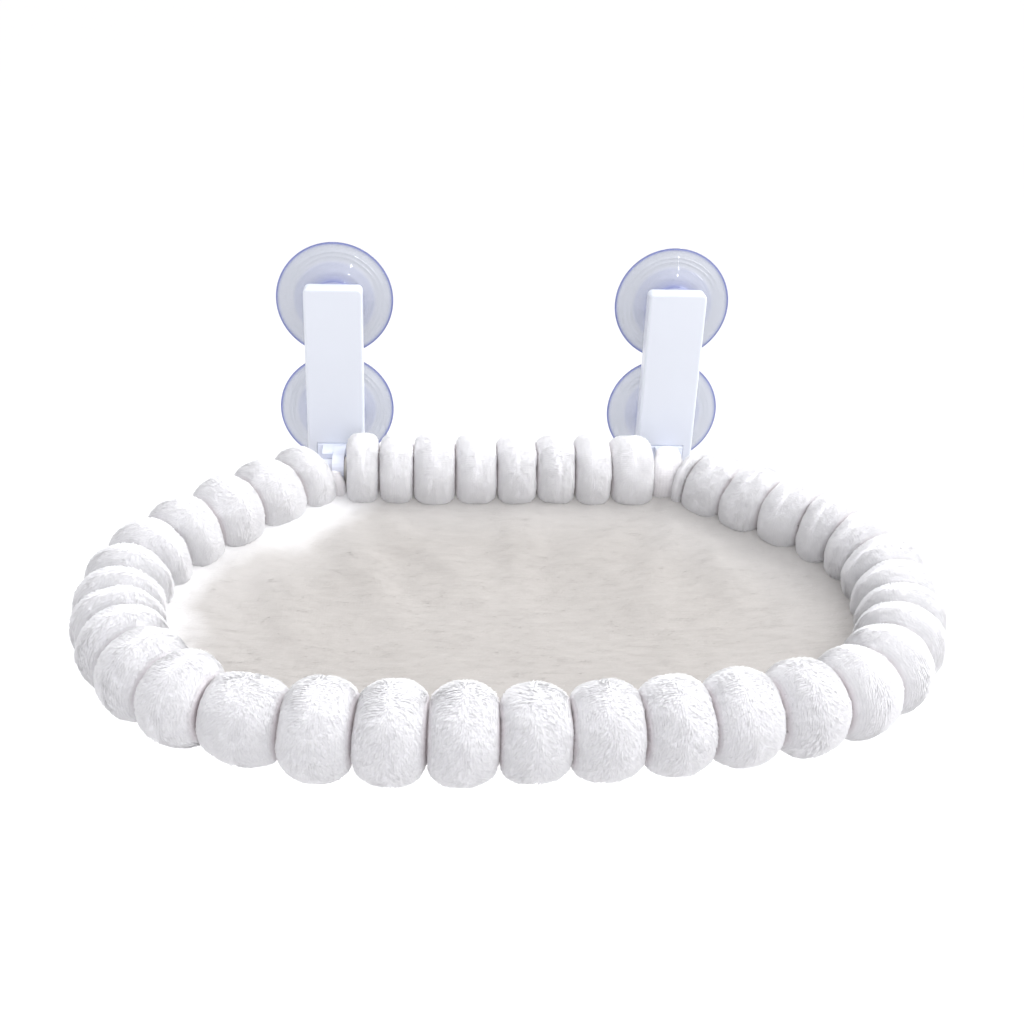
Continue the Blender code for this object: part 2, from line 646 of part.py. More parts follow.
def make_cloth(name, top, thick, folds, material):
    """A dished sheet inside the ring, lowest in the middle of the bed."""
    outline = bed_outline(SHEET_INSET)
    middle = Vector((0, -BED_DEPTH / 2, 0))
    bm = bmesh.new()
    verts = [bm.verts.new(point) for point in outline]
    ring = [bm.edges.new(pair) for pair in zip(verts, verts[1:] + verts[:1])]
    level = {vert: 1.0 for vert in verts}
    for before, after in zip(SHEET_RING_SHARES, SHEET_RING_SHARES[1:]):
        grown = bmesh.ops.extrude_edge_only(bm, edges=ring)
        fresh = set(new_verts(grown))
        ring = [item for item in grown["geom"] if isinstance(item, bmesh.types.BMEdge)
                and fresh.issuperset(item.verts)]
        scale = after / before
        for vert in fresh:
            vert.co = middle + (vert.co - middle) * scale
            level[vert] = after
    inner = bmesh.ops.contextual_create(bm, geom=ring)["faces"]
    hub = bmesh.ops.poke(bm, faces=inner)["verts"][0]
    level[hub] = 0.0
    for vert, share in level.items():
        vert.co.z = top - SHEET_SAG * (1 - share * share)
        if folds:
            vert.co.z += fold_height(vert.co.x, vert.co.y) * min(1, (1 - share) / FOLD_EDGE_SHARE)
    grown = bmesh.ops.extrude_face_region(bm, geom=list(bm.faces))
    bmesh.ops.translate(bm, vec=(0, 0, -thick), verts=new_verts(grown))
    bmesh.ops.recalc_face_normals(bm, faces=bm.faces)
    piece(name, bm, material, BED)


def make_bracket(side_name, side):
    x = side * BRACKET_X
    make_bracket_body(f"bracket_body_{side_name}", side)
    make_front_cover(f"front_cover_{side_name}", side)
    make_hinge_bush(f"hinge_bush_{side_name}", side)
    for row, z in (("upper", CUP_PITCH / 2), ("lower", -CUP_PITCH / 2)):
        make_cup(f"{row}_cup_{side_name}", x, z)
        make_stud(f"{row}_stud_{side_name}", x, z)
        make_washer(f"{row}_washer_{side_name}", x, z)
        make_nut(f"{row}_nut_{side_name}", x, z)
    for row, z in (("upper", SCREW_PITCH / 2), ("lower", -SCREW_PITCH / 2)):
        make_cover_screw(f"{row}_cover_screw_{side_name}", x, z)


def make_frame():
    make_back_tube()
    start = ELBOW_X + ELBOW_OUTER + GAP
    travels = tube_travels(start, HALF_LENGTH - GAP / 2)
    for side_name, side in (("left", -1), ("right", 1)):
        make_elbow(f"elbow_{side_name}", side)
        make_tube(f"{side_name}_hoop", travels, side)
    make_hoop_splice()


def make_soft_parts():
    end = EYE_IN - 2 * GAP - BUSH_FLANGE
    back_seams = seams_between(-end, end, BACK_SEAM_SHARES)
    make_roll("back_roll", back_seams, lambda x, radius: placed_circle(Vector((x, 0, 0)), 0, radius))
    whole = 2 * HALF_LENGTH
    turn = ROLL_FROM + SIDE_ROLL_LENGTH
    make_roll("right_roll", seams_between(ROLL_FROM, turn, SIDE_SEAM_SHARES), roll_station)
    front_shares = [index / FRONT_PUFFS for index in range(FRONT_PUFFS + 1)]
    make_roll("front_roll", seams_between(turn, whole - turn, front_shares), roll_station)
    left_seams = seams_between(whole - ROLL_FROM, whole - turn, SIDE_SEAM_SHARES)
    make_roll("left_roll", left_seams[::-1], roll_station)
    top = -SHEET_LEVEL
    make_cloth("plush_sheet", top, SHEET_THICK, True, PLUSH_SHEET)
    make_cloth("base_cloth", top - SHEET_THICK - GAP, CLOTH_THICK, False, OXFORD_CLOTH)


for old in list(bpy.data.objects):
    bpy.data.objects.remove(old)

WHITE_ABS = finish("white ABS", "E9EBF5", 0.38)
COVER_ABS = finish("satin white ABS cover", "E6E9F6", 0.30)
CLEAR_PVC = finish("clear PVC", "C5CBE0", 0.12, transmission=0.8)
ZINC_STEEL = finish("zinc plated steel", "B9BCC2", 0.35, metallic=1.0)
COATED_STEEL = finish("white powder coated steel", "EEEEF0", 0.45)
NYLON = finish("natural nylon", "E4E2DA", 0.5)
GREY_NYLON = finish("grey glass filled nylon", "D5D8E4", 0.55)
PLUSH = finish("white plush", "F4F3F6", 0.95)
PLUSH_SHEET = finish("short pile plush", "E2DFDC", 0.95)
OXFORD_CLOTH = finish("oxford cloth", "DCDAD8", 0.85)

BED = bpy.data.objects.new("bed_pivot", None)
BED.location = (0, HINGE_Y, HINGE_Z)
BED.rotation_euler = (BED_DROOP, 0, 0)
bpy.context.scene.collection.objects.link(BED)

make_bracket("left", -1)
make_bracket("right", 1)
make_frame()
make_soft_parts()
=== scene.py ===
"""Looks of the cat window hammock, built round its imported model."""
import math

import bmesh
import bpy
from bpy.props import FloatProperty, FloatVectorProperty, IntProperty, PointerProperty
from mathutils import Matrix, Vector, noise


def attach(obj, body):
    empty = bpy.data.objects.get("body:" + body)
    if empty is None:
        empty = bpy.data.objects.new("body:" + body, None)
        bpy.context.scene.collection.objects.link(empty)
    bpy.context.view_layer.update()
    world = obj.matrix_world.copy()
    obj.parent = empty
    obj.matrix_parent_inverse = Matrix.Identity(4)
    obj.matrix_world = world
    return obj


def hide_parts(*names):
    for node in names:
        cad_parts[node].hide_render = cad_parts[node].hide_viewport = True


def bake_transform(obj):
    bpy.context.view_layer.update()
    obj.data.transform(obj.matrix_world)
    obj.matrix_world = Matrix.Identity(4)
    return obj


bl_info = {
    "name": "Window hammock looks",
    "version": (1, 0, 0),
    "blender": (4, 5, 0),
    "location": "3D View > Sidebar > Hammock",
    "description": "Dresses the window hammock in plush, clear PVC and satin ABS",
    "category": "Object",
}

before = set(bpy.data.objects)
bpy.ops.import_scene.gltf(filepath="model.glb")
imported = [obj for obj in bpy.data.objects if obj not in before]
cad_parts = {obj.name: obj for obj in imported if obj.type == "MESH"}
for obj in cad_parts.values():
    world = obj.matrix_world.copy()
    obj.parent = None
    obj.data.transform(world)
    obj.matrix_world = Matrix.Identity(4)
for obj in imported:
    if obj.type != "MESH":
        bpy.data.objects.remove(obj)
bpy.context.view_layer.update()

# Unless it is given a seed, noise_vector follows the clock and the pile differs each run
noise.seed_set(5)

MM = 0.001
BED_AXIS = Vector((0, -52.0 * MM, -66.0 * MM))
BED_DROOP = math.radians(5.7)
# The plush sits a little to the left on its frame
BED_SHIFT = Vector((-1.5 * MM, 0, 0))
BED_PLACE = Matrix.Translation(BED_AXIS + BED_SHIFT) @ Matrix.Rotation(BED_DROOP, 4, "X")

# The ring's centre line, in the level bed
ELBOW_X = 122.0 * MM
ELBOW_ANGLE = math.radians(45)
SIDE_ROLL_TURN = 432.0 * MM
SIDE_RUN = 113.5 * MM
SIDE_BEND_RADIUS = 99.0 * MM
SIDE_BEND_ANGLE = math.radians(120.4)
BACK_ROLL_ENDS = (-106.7 * MM, 104.0 * MM)

# Grooves of the side rolls, by their distance from the middle of the back. The right roll
# starts with a short neck, which stays under the bracket's ledge as the bed folds up.
RIGHT_SEAMS = (129.5, 132.6, 141, 170, 199, 228, 254, 279, 303, 325, 346, 369.6, 399.9, 432)
LEFT_SEAMS = (128.8, 153.9, 189, 222, 254.1, 283.5, 308.1, 327.9, 345.9, 369.6, 399.9, 432)
BACK_SEAMS = (0.0, 0.106, 0.216, 0.353, 0.487, 0.616, 0.742, 0.861, 1.0)
FRONT_SEAMS = (0.0, 0.107, 0.218, 0.326, 0.437, 0.546, 0.655, 0.766, 0.879, 1.0)

# How far the plush hangs off its tube, as (distance from the middle of the back, outward, up)
RIGHT_DRIFT = (
    (129, 0, 0), (165, 1, 0.5), (195, 3, 3), (229, 4.8, 4.8), (265, 4, 4.5), (290, 2, 3),
    (320, 0, 0), (1000, 0, 0))
LEFT_DRIFT = (
    (129, 0, -1), (155, 0, 0), (190, 0, 2.5), (230, 0, 0), (420, 0, -1), (450, 0, -5.5),
    (490, 0, -5), (527, 0, -2.5), (600, 0, -0.5), (1000, 0, 0))

# How each puff differs from the common size, in order round the ring and along the back
FRONT_SWELL = (1.01, 1.0, 1.02, 1.01, 0.99, 1.045, 1.06, 1.06, 0.91)
RIGHT_SWELL = (0.47, 0.84, 0.94, 0.96, 0.98, 1.0, 1.0, 1.0, 1.0, 1.0, 1.0, 1.0, 0.99)
LEFT_SWELL = (0.93, 0.95, 0.97, 1.0, 1.0, 1.0, 1.0, 1.0, 1.0, 1.0, 0.99)
BACK_SWELL = (0.99, 1.0, 1.01, 1.0, 1.0, 0.99, 1.0, 0.98)

# How fast the painted shade of a groove fades up the side of a puff
GROOVE_SHADE_FADE = 1.8
# Lumps of the stuffing: how far apart, and their height in mm
LUMP_SIZE = 16.0 * MM
LUMP_RISE = 0.8
# Patches of pile that lie the same way
SWIRL_SIZE = 17.0 * MM

# The photograph's camera
CAMERA_PLACE = Vector((-61.5 * MM, -872.7 * MM, 318.2 * MM))
CAMERA_YAW = 0.083
CAMERA_PITCH = 0.467
CAMERA_ROLL = 0.041
CAMERA_FOCUS_PX = 1306.0
IMAGE_PX = 1024
SENSOR = 36.0

# Soft tucks of plush in front of the hinge eyes, round the back tube: the middle, half width
# and top of each
TUCKS = {
    "left": (-115.6 * MM, 8.0 * MM, math.radians(30)),
    "right": (112.8 * MM, 10.8 * MM, math.radians(112)),
}
TUCK_REACH = 17.2 * MM
TUCK_THICK = 4.0 * MM
TUCK_FOOT = math.radians(-105)
TUCK_STEP = math.radians(4.5)
TUCK_SEGMENTS = 28
# Height and lean of a tuck's tufts, in mm
TUCK_PILE = 0.7
TUCK_LEAN = 1.6

# The sheet and the base cloth: how far inside the tube's middle line each is cut, how thick
# it is, and how far the base cloth lies below
SHEET_INSET = 13.0 * MM
SHEET_THICK = 3.0 * MM
BASE_INSET = 20.0 * MM
BASE_THICK = 1.5 * MM
BASE_DROP = 4.5 * MM
BASE_ROWS = 14
# The base cloth takes up this share of the sheet's folds
BASE_FOLDS = 0.2
# The sheet's edge turns up from this share of its reach, by a rise in mm that grows squared
EDGE_START = 0.86
EDGE_RISE = 260.0

CUP_X = 117.0 * MM
CUP_Z = 40.2 * MM
# Sizes in mm that the cup's section is drawn to
SECTION_RADIUS = 40
SECTION_HEIGHT = 12
CUP_STEPS = 96

FLOOR_LEVEL = -0.75
FLOOR_HALF = 13
# Each lamp: place in metres, power in watts and width in metres
LAMPS = (
    ("key_light", (1.2, -0.1, 1.1), 17.5, 1.2),
    ("fill_light", (1.0, -1.6, 0.7), 2.5, 1.4),
    ("side_light", (-1.1, -0.3, 1.2), 3, 1.4),
    ("glint_light", (0.45, -0.9, 0.95), 0.7, 0.08),
    ("back_light", (0.2, 1.0, 1.3), 9, 1.2),
)
LAMP_AIM = Vector((0, -0.2, -0.05))


class HammockSizes(bpy.types.PropertyGroup):
    puff_radius: FloatProperty(
        name="Puff radius", description="From the tube to the backing of a puff's pile",
        default=26.0 * MM, unit="LENGTH")
    groove_radius: FloatProperty(
        name="Groove radius", description="From the tube to the stitched groove between two puffs",
        default=12.5 * MM, unit="LENGTH")
    pile_height: FloatProperty(
        name="Pile height", description="How far a tuft of the rolls stands out",
        default=1.2 * MM, unit="LENGTH")
    pile_lean: FloatProperty(
        name="Pile lean", description="How far a tuft of the rolls lies over",
        default=3.0 * MM, unit="LENGTH")
    tuft_spacing: FloatProperty(
        name="Tuft spacing", description="Between rows of tufts on the rolls",
        default=1.15 * MM, unit="LENGTH")
    tufts_around: IntProperty(
        name="Tufts around", description="Tufts in one turn round a roll", default=112)
    lock_length: FloatProperty(
        name="Lock length", description="Length of the locks that the rolls' tufts fall into",
        default=11.0 * MM, unit="LENGTH")
    lock_width: FloatProperty(
        name="Lock width", description="Width of those locks",
        default=3.8 * MM, unit="LENGTH")
    nap_spacing: FloatProperty(
        name="Nap spacing", description="Between rows of the sheet's short pile",
        default=1.7 * MM, unit="LENGTH")
    nap_height: FloatProperty(
        name="Nap height", description="How far the sheet's pile stands up",
        default=0.55 * MM, unit="LENGTH")
    nap_lean: FloatProperty(
        name="Nap lean", description="How far the sheet's pile lies over",
        default=2.2 * MM, unit="LENGTH")
    sheet_level: FloatProperty(
        name="Sheet level", description="How far the sheet's edge lies below the tube",
        default=9.0 * MM, unit="LENGTH")
    sheet_sag: FloatProperty(
        name="Sheet sag", description="How far the middle of the sheet hangs below its edge",
        default=15.0 * MM, unit="LENGTH")
    cup_radius: FloatProperty(
        name="Cup radius", description="Radius of a suction cup",
        default=40.0 * MM, unit="LENGTH")
    cup_height: FloatProperty(
        name="Cup height", description="From the glass to the top of a cup's hub",
        default=12.0 * MM, unit="LENGTH")


def linear(value):
    return value / 12.92 if value <= 0.04045 else ((value + 0.055) / 1.055) ** 2.4


def srgb(code):
    """A linear colour from an sRGB hex value."""
    return [linear(int(code[i:i + 2], 16) / 255) for i in (0, 2, 4)]


class HammockColours(bpy.types.PropertyGroup):
    plush: FloatVectorProperty(
        name="Plush", description="Tips of the white pile",
        subtype="COLOR", default=srgb("F4F4F5"))
    # Painted shade: the root colour is the shade deep in the pile, also spread by random clumps of
    # tone
    plush_root_shade_and_tone: FloatVectorProperty(
        name="Plush root", description="Deep in the white pile",
        subtype="COLOR", default=srgb("E6E5E9"))
    # Painted shade: the groove colour stands for the shade that falls in the stitched grooves
    # between puffs
    groove: FloatVectorProperty(
        name="Groove", description="Stitched groove between puffs",
        subtype="COLOR", default=srgb("B3A6A9"))
    sheet: FloatVectorProperty(
        name="Sheet", description="Short pile of the sheet",
        subtype="COLOR", default=srgb("AAA6A2"))
    sheet_shade: FloatVectorProperty(
        name="Sheet shade", description="Where the sheet's pile lies the other way",
        subtype="COLOR", default=srgb("A19D99"))
    cover: FloatVectorProperty(
        name="Cover", description="Bracket covers",
        subtype="COLOR", default=srgb("D7DBE3"))
    cup: FloatVectorProperty(
        name="Cup", description="Tint of the clear cups",
        subtype="COLOR", default=srgb("CFD3DA"))
    # Partly painted shade: the darker blue that clear PVC shows where it is seen edge on, on top of
    # its own tint where thick
    cup_edge_tint_and_shade: FloatVectorProperty(
        name="Cup edge", description="Tint where the clear cups are seen edge on",
        subtype="COLOR", default=srgb("7A84C0"))
    steel: FloatVectorProperty(
        name="Steel", description="Zinc plated small parts",
        subtype="COLOR", default=srgb("BFC2C8"))
    backdrop: FloatVectorProperty(
        name="Backdrop", description="Floor and room",
        subtype="COLOR", default=srgb("E7E6E6"))


def add_node(tree, kind, settings=None, links=None):
    """A shader node, with its settings by name and its inputs linked or set."""
    node = tree.nodes.new(kind)
    for name, value in (settings or {}).items():
        setattr(node, name, value)
    for name, value in (links or {}).items():
        if isinstance(value, bpy.types.NodeSocket):
            tree.links.new(value, node.inputs[name])
        else:
            node.inputs[name].default_value = value
    return node


def new_material(name, colour, **values):
    """A Principled material; values go straight on the shader's sockets."""
    material = bpy.data.materials.new(name)
    material.use_nodes = True
    tree = material.node_tree
    shader = tree.nodes["Principled BSDF"]
    shader.inputs["Base Color"].default_value = (*colour, 1)
    for key, value in values.items():
        shader.inputs[key.replace("_", " ").title().replace("Ior", "IOR")].default_value = value
    return material, tree, shader


def per_metre(size):
    """Pattern scale for features of a real size."""
    return 1 / size


def plush_material(colours):
    """White long pile polyester plush, knitted and brushed: soft tufts, greyer at their roots by
    painted shade, mixed with random clumps of tone.
    """
    material, tree, shader = new_material(
        "long pile polyester plush", colours.plush, roughness=0.9, sheen_weight=0.25,
        sheen_roughness=0.6, subsurface_weight=0.4, subsurface_scale=4.0 * MM,
        subsurface_radius=(1, 1, 1))
    place = add_node(tree, "ShaderNodeTexCoord")
    clumps = add_node(tree, "ShaderNodeTexNoise", links={
        "Vector": place.outputs["Object"], "Scale": per_metre(7.0 * MM), "Detail": 3.0})
    # Painted shade and light: the pile is mixed from its root colour to its tip colour by how high
    # each point stands, and by random clumps of tone
    depth = add_node(tree, "ShaderNodeAttribute", {"attribute_name": "tip"})
    shade = add_node(tree, "ShaderNodeMath", {"operation": "MULTIPLY_ADD"}, {
        0: clumps.outputs["Fac"], 1: 0.7, 2: depth.outputs["Fac"]})
    pile = add_node(tree, "ShaderNodeMix", {"data_type": "RGBA"}, {0: shade.outputs[0]})
    pile.inputs[6].default_value = (*colours.plush_root_shade_and_tone, 1)
    pile.inputs[7].default_value = (*colours.plush, 1)
    # Painted shade: the groove layer darkens the pile towards the grooves between puffs
    seam = add_node(tree, "ShaderNodeAttribute", {"attribute_name": "groove"})
    groove_shade = add_node(tree, "ShaderNodeMix", {"data_type": "RGBA"}, {
        0: seam.outputs["Fac"], 6: pile.outputs[2]})
    groove_shade.inputs[7].default_value = (*colours.groove, 1)
    tree.links.new(groove_shade.outputs[2], shader.inputs["Base Color"])
    fibre = add_node(tree, "ShaderNodeTexNoise", links={
        "Vector": place.outputs["Object"], "Scale": per_metre(0.9 * MM), "Detail": 2.0})
    bump = add_node(tree, "ShaderNodeBump", links={
        "Height": fibre.outputs["Fac"], "Strength": 0.35, "Distance": 0.4 * MM})
    tree.links.new(bump.outputs["Normal"], shader.inputs["Normal"])
    return material


def nap_material(colours):
    """Cream short pile plush, brushed along the window: faint streaks as the nap turns."""
    material, tree, shader = new_material(
        "short pile polyester plush", colours.sheet, roughness=0.95, sheen_weight=0.2,
        sheen_roughness=0.5)
    place = add_node(tree, "ShaderNodeTexCoord")
    combed = add_node(tree, "ShaderNodeMapping", links={"Vector": place.outputs["Object"]})
    combed.inputs["Scale"].default_value = (0.32, 1, 1)
    streaks = add_node(tree, "ShaderNodeTexNoise", links={
        "Vector": combed.outputs["Vector"], "Scale": per_metre(3.2 * MM), "Detail": 4.0,
        "Roughness": 0.65})
    clouds = add_node(tree, "ShaderNodeTexNoise", links={
        "Vector": place.outputs["Object"], "Scale": per_metre(45.0 * MM), "Detail": 2.0})
    both = add_node(tree, "ShaderNodeMath", {"operation": "MULTIPLY_ADD"}, {
        0: clouds.outputs["Fac"], 1: 0.5, 2: streaks.outputs["Fac"]})
    spread = add_node(tree, "ShaderNodeMapRange", links={
        "Value": both.outputs[0], "From Min": 0.4, "From Max": 1.0})
    pile = add_node(tree, "ShaderNodeMix", {"data_type": "RGBA"}, {0: spread.outputs["Result"]})
    pile.inputs[6].default_value = (*colours.sheet_shade, 1)
    pile.inputs[7].default_value = (*colours.sheet, 1)
    # Painted light: the rim layer whitens the pile towards the left and near the edge at the back
    edge = add_node(tree, "ShaderNodeAttribute", {"attribute_name": "rim"})
    whole = add_node(tree, "ShaderNodeMix", {"data_type": "RGBA"}, {
        0: edge.outputs["Fac"], 6: pile.outputs[2]})
    whole.inputs[7].default_value = (*colours.plush, 1)
    tree.links.new(whole.outputs[2], shader.inputs["Base Color"])
    bump = add_node(tree, "ShaderNodeBump", links={
        "Height": streaks.outputs["Fac"], "Strength": 0.3, "Distance": 0.5 * MM})
    tree.links.new(bump.outputs["Normal"], shader.inputs["Normal"])
    return material


def grained_material(name, colour, roughness, grain):
    """Moulded plastic or powder coat: a fine grain and a faint unevenness of gloss."""
    material, tree, shader = new_material(
        name, colour, roughness=roughness, ior=1.53, coat_weight=0.15, coat_roughness=0.2)
    place = add_node(tree, "ShaderNodeTexCoord")
    speckle = add_node(tree, "ShaderNodeTexNoise", links={
        "Vector": place.outputs["Object"], "Scale": per_metre(grain), "Detail": 2.0})
    flow = add_node(tree, "ShaderNodeTexNoise", links={
        "Vector": place.outputs["Object"], "Scale": per_metre(30.0 * MM), "Detail": 1.0})
    gloss = add_node(tree, "ShaderNodeMapRange", links={
        "Value": flow.outputs["Fac"], "To Min": roughness - 0.05, "To Max": roughness + 0.06})
    tree.links.new(gloss.outputs["Result"], shader.inputs["Roughness"])
    bump = add_node(tree, "ShaderNodeBump", links={
        "Height": speckle.outputs["Fac"], "Strength": 0.05, "Distance": 0.05 * MM})
    tree.links.new(bump.outputs["Normal"], shader.inputs["Normal"])
    return material


def clear_pvc_material(colours):
    """Pressed soft PVC: clear, with a blue tint that deepens where the wall is thick, partly its
    own colour and partly painted edge shade where the cup is seen edge on.
    """
    material, tree, shader = new_material(
        "clear soft PVC", colours.cup, roughness=0.08, ior=1.53, transmission_weight=0.75,
        coat_weight=0.3, coat_roughness=0.05)
    depth = add_node(tree, "ShaderNodeAttribute", {"attribute_name": "thick"})
    tint = add_node(tree, "ShaderNodeMix", {"data_type": "RGBA"}, {0: depth.outputs["Fac"]})
    tint.inputs[6].default_value = (*colours.cup, 1)
    tint.inputs[7].default_value = (*colours.cup_edge_tint_and_shade, 1)
    tree.links.new(tint.outputs[2], shader.inputs["Base Color"])
    return material


def plated_material(colours):
    """Zinc plated steel: a cool, slightly cloudy metal."""
    material, tree, shader = new_material(
        "zinc plated steel", colours.steel, roughness=0.35, metallic=1.0)
    place = add_node(tree, "ShaderNodeTexCoord")
    cloud = add_node(tree, "ShaderNodeTexNoise", links={
        "Vector": place.outputs["Object"], "Scale": per_metre(2.0 * MM), "Detail": 3.0})
    gloss = add_node(tree, "ShaderNodeMapRange", links={
        "Value": cloud.outputs["Fac"], "To Min": 0.28, "To Max": 0.5})
    tree.links.new(gloss.outputs["Result"], shader.inputs["Roughness"])
    return material


def woven_material(colours):
    """Polyester oxford cloth: a plain weave of flat threads, seen from below."""
    material, tree, shader = new_material(
        "woven polyester oxford", colours.sheet_shade, roughness=0.85, sheen_weight=0.1)
    place = add_node(tree, "ShaderNodeTexCoord")
    # Drawn coarser than the real 0.4 mm thread, so that it shows
    threads = []
    for direction in ("X", "Y"):
        threads.append(add_node(tree, "ShaderNodeTexWave", {
            "wave_type": "BANDS", "bands_direction": direction}, {
            "Vector": place.outputs["Object"], "Scale": per_metre(1.2 * MM) / math.tau}))
    weave = add_node(tree, "ShaderNodeMath", {"operation": "MULTIPLY"}, {
        0: threads[0].outputs["Fac"], 1: threads[1].outputs["Fac"]})
    bump = add_node(tree, "ShaderNodeBump", links={
        "Height": weave.outputs[0], "Strength": 0.4, "Distance": 0.15 * MM})
    tree.links.new(bump.outputs["Normal"], shader.inputs["Normal"])
    return material


def new_verts(grown):
    return [item for item in grown["geom"] if isinstance(item, bmesh.types.BMVert)]


def open_edges(grown, fresh):
    """The edges of what was extruded that join only fresh points."""
    inside = set(fresh)
    return [item for item in grown["geom"] if isinstance(item, bmesh.types.BMEdge)
            and inside.issuperset(item.verts)]


def sweep_on(bm, ring, place, before, segments):
    """The points and edges of a swept skin's next circle, or of its first."""
    if before is None:
        made = bmesh.ops.create_circle(bm, segments=segments, radius=1, matrix=place)
        return made["verts"], list(bm.edges)
    grown = bmesh.ops.extrude_edge_only(bm, edges=ring)
    fresh = new_verts(grown)
    bmesh.ops.transform(bm, matrix=place @ before.inverted(), verts=fresh)
    return fresh, open_edges(grown, fresh)


def close_ends(bm):
    ends = [edge for edge in bm.edges if edge.is_boundary]
    bmesh.ops.holes_fill(bm, edges=ends, sides=0)
    bmesh.ops.recalc_face_normals(bm, faces=bm.faces)


def neighbours(vert):
    return [edge.other_vert(vert) for edge in vert.link_edges]


def average(verts, layer):
    return sum(vert[layer] for vert in verts) / len(verts)


def cloth_facing(verts, nap):
    """How the cloth under a tuft faces, from the points round it."""
    face = Vector((0, 0, 0))
    for vert in verts:
        face += vert[nap]
    return face.normalized()


def finished(name, bm, material, body="bed", nap=None):
    """An object at the origin, from a mesh that already stands in its place.

    nap is the layer that holds how the cloth under a pile faces in the level bed. The pile is
    lit as that cloth is, because soft fibres pass light on to each other.
    """
    mesh = bpy.data.meshes.new(name)
    turn = BED_PLACE.to_3x3()
    facing = [turn @ vert[nap].normalized() for vert in bm.verts] if nap else None
    bm.to_mesh(mesh)
    bm.free()
    mesh.materials.append(material)
    mesh.shade_smooth()
    if facing:
        mesh.normals_split_custom_set_from_vertices(facing)
    made = bpy.data.objects.new(name, mesh)
    bpy.context.scene.collection.objects.link(made)
    if body:
        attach(made, body)
    return made


def ahead_of(heading):
    """The way on along the ring."""
    return Vector((math.cos(heading), -math.sin(heading), 0))


def outward_of(heading):
    """The way out of the ring, square to ahead_of."""
    return Vector((math.sin(heading), math.cos(heading), 0))


def rim_stretches():
    """The ring's right half: the length, start, heading and bend radius of each stretch."""
    corner = Vector((ELBOW_X, 0, 0))
    bend_start = corner + SIDE_RUN * ahead_of(ELBOW_ANGLE)
    turn_end = ELBOW_ANGLE + SIDE_BEND_ANGLE
    middle = bend_start - SIDE_BEND_RADIUS * outward_of(ELBOW_ANGLE)
    bend_end = middle + SIDE_BEND_RADIUS * outward_of(turn_end)
    front_radius = bend_end.x / math.sin(turn_end)
    return (
        (ELBOW_X, Vector((0, 0, 0)), 0.0, None),
        (SIDE_RUN, corner, ELBOW_ANGLE, None),
        (SIDE_BEND_RADIUS * SIDE_BEND_ANGLE, bend_start, ELBOW_ANGLE, SIDE_BEND_RADIUS),
        (front_radius * (math.pi - turn_end), bend_end, turn_end, front_radius),
    )


STRETCHES = rim_stretches()
HALF_LENGTH = sum(stretch[0] for stretch in STRETCHES)
FRONT_REACH = STRETCHES[3][1].y - STRETCHES[3][3] * (1 + math.cos(STRETCHES[3][2]))


def rim_place(travel):
    """The point and heading on the ring at a distance from the middle of the back."""
    if travel > HALF_LENGTH:
        point, heading = rim_place(2 * HALF_LENGTH - travel)
        return Vector((-point.x, point.y, 0)), math.tau - heading
    left = travel
    for index, (length, start, heading, radius) in enumerate(STRETCHES):
        if left <= length or index == len(STRETCHES) - 1:
            break
        left -= length
    if radius is None:
        return start + left * ahead_of(heading), heading
    turned_to = heading + left / radius
    middle = start - radius * outward_of(heading)
    return middle + radius * outward_of(turned_to), turned_to


def ring_axis(travel):
    """As rim_place, for the middle line of the plush, which hangs a little off its tube."""
    point, heading = rim_place(travel)
    right = travel < HALF_LENGTH
    along = (travel if right else 2 * HALF_LENGTH - travel) / MM
    table = RIGHT_DRIFT if right else LEFT_DRIFT
    drift = Vector((0, 0))
    for (start, *first), (end, *last) in zip(table, table[1:]):
        if start <= along <= end:
            share = (along - start) / (end - start)
            drift = Vector(first).lerp(Vector(last), share * share * (3 - 2 * share)) * MM
    return point + outward_of(heading) * drift.x + Vector((0, 0, drift.y)), heading


def back_axis(travel):
    """The middle line of the back roll, which is straight."""
    return Vector((travel, 0, 0)), 0.0


def seams_between(start, end, shares):
    return [start + (end - start) * share for share in shares]


def puff_rise(share, corner):
    """How full a puff is along its length: steep sides and a round crown, from 0 to 1."""
    across = abs(2 * share - 1)
    return (1 - across ** corner) ** 0.55


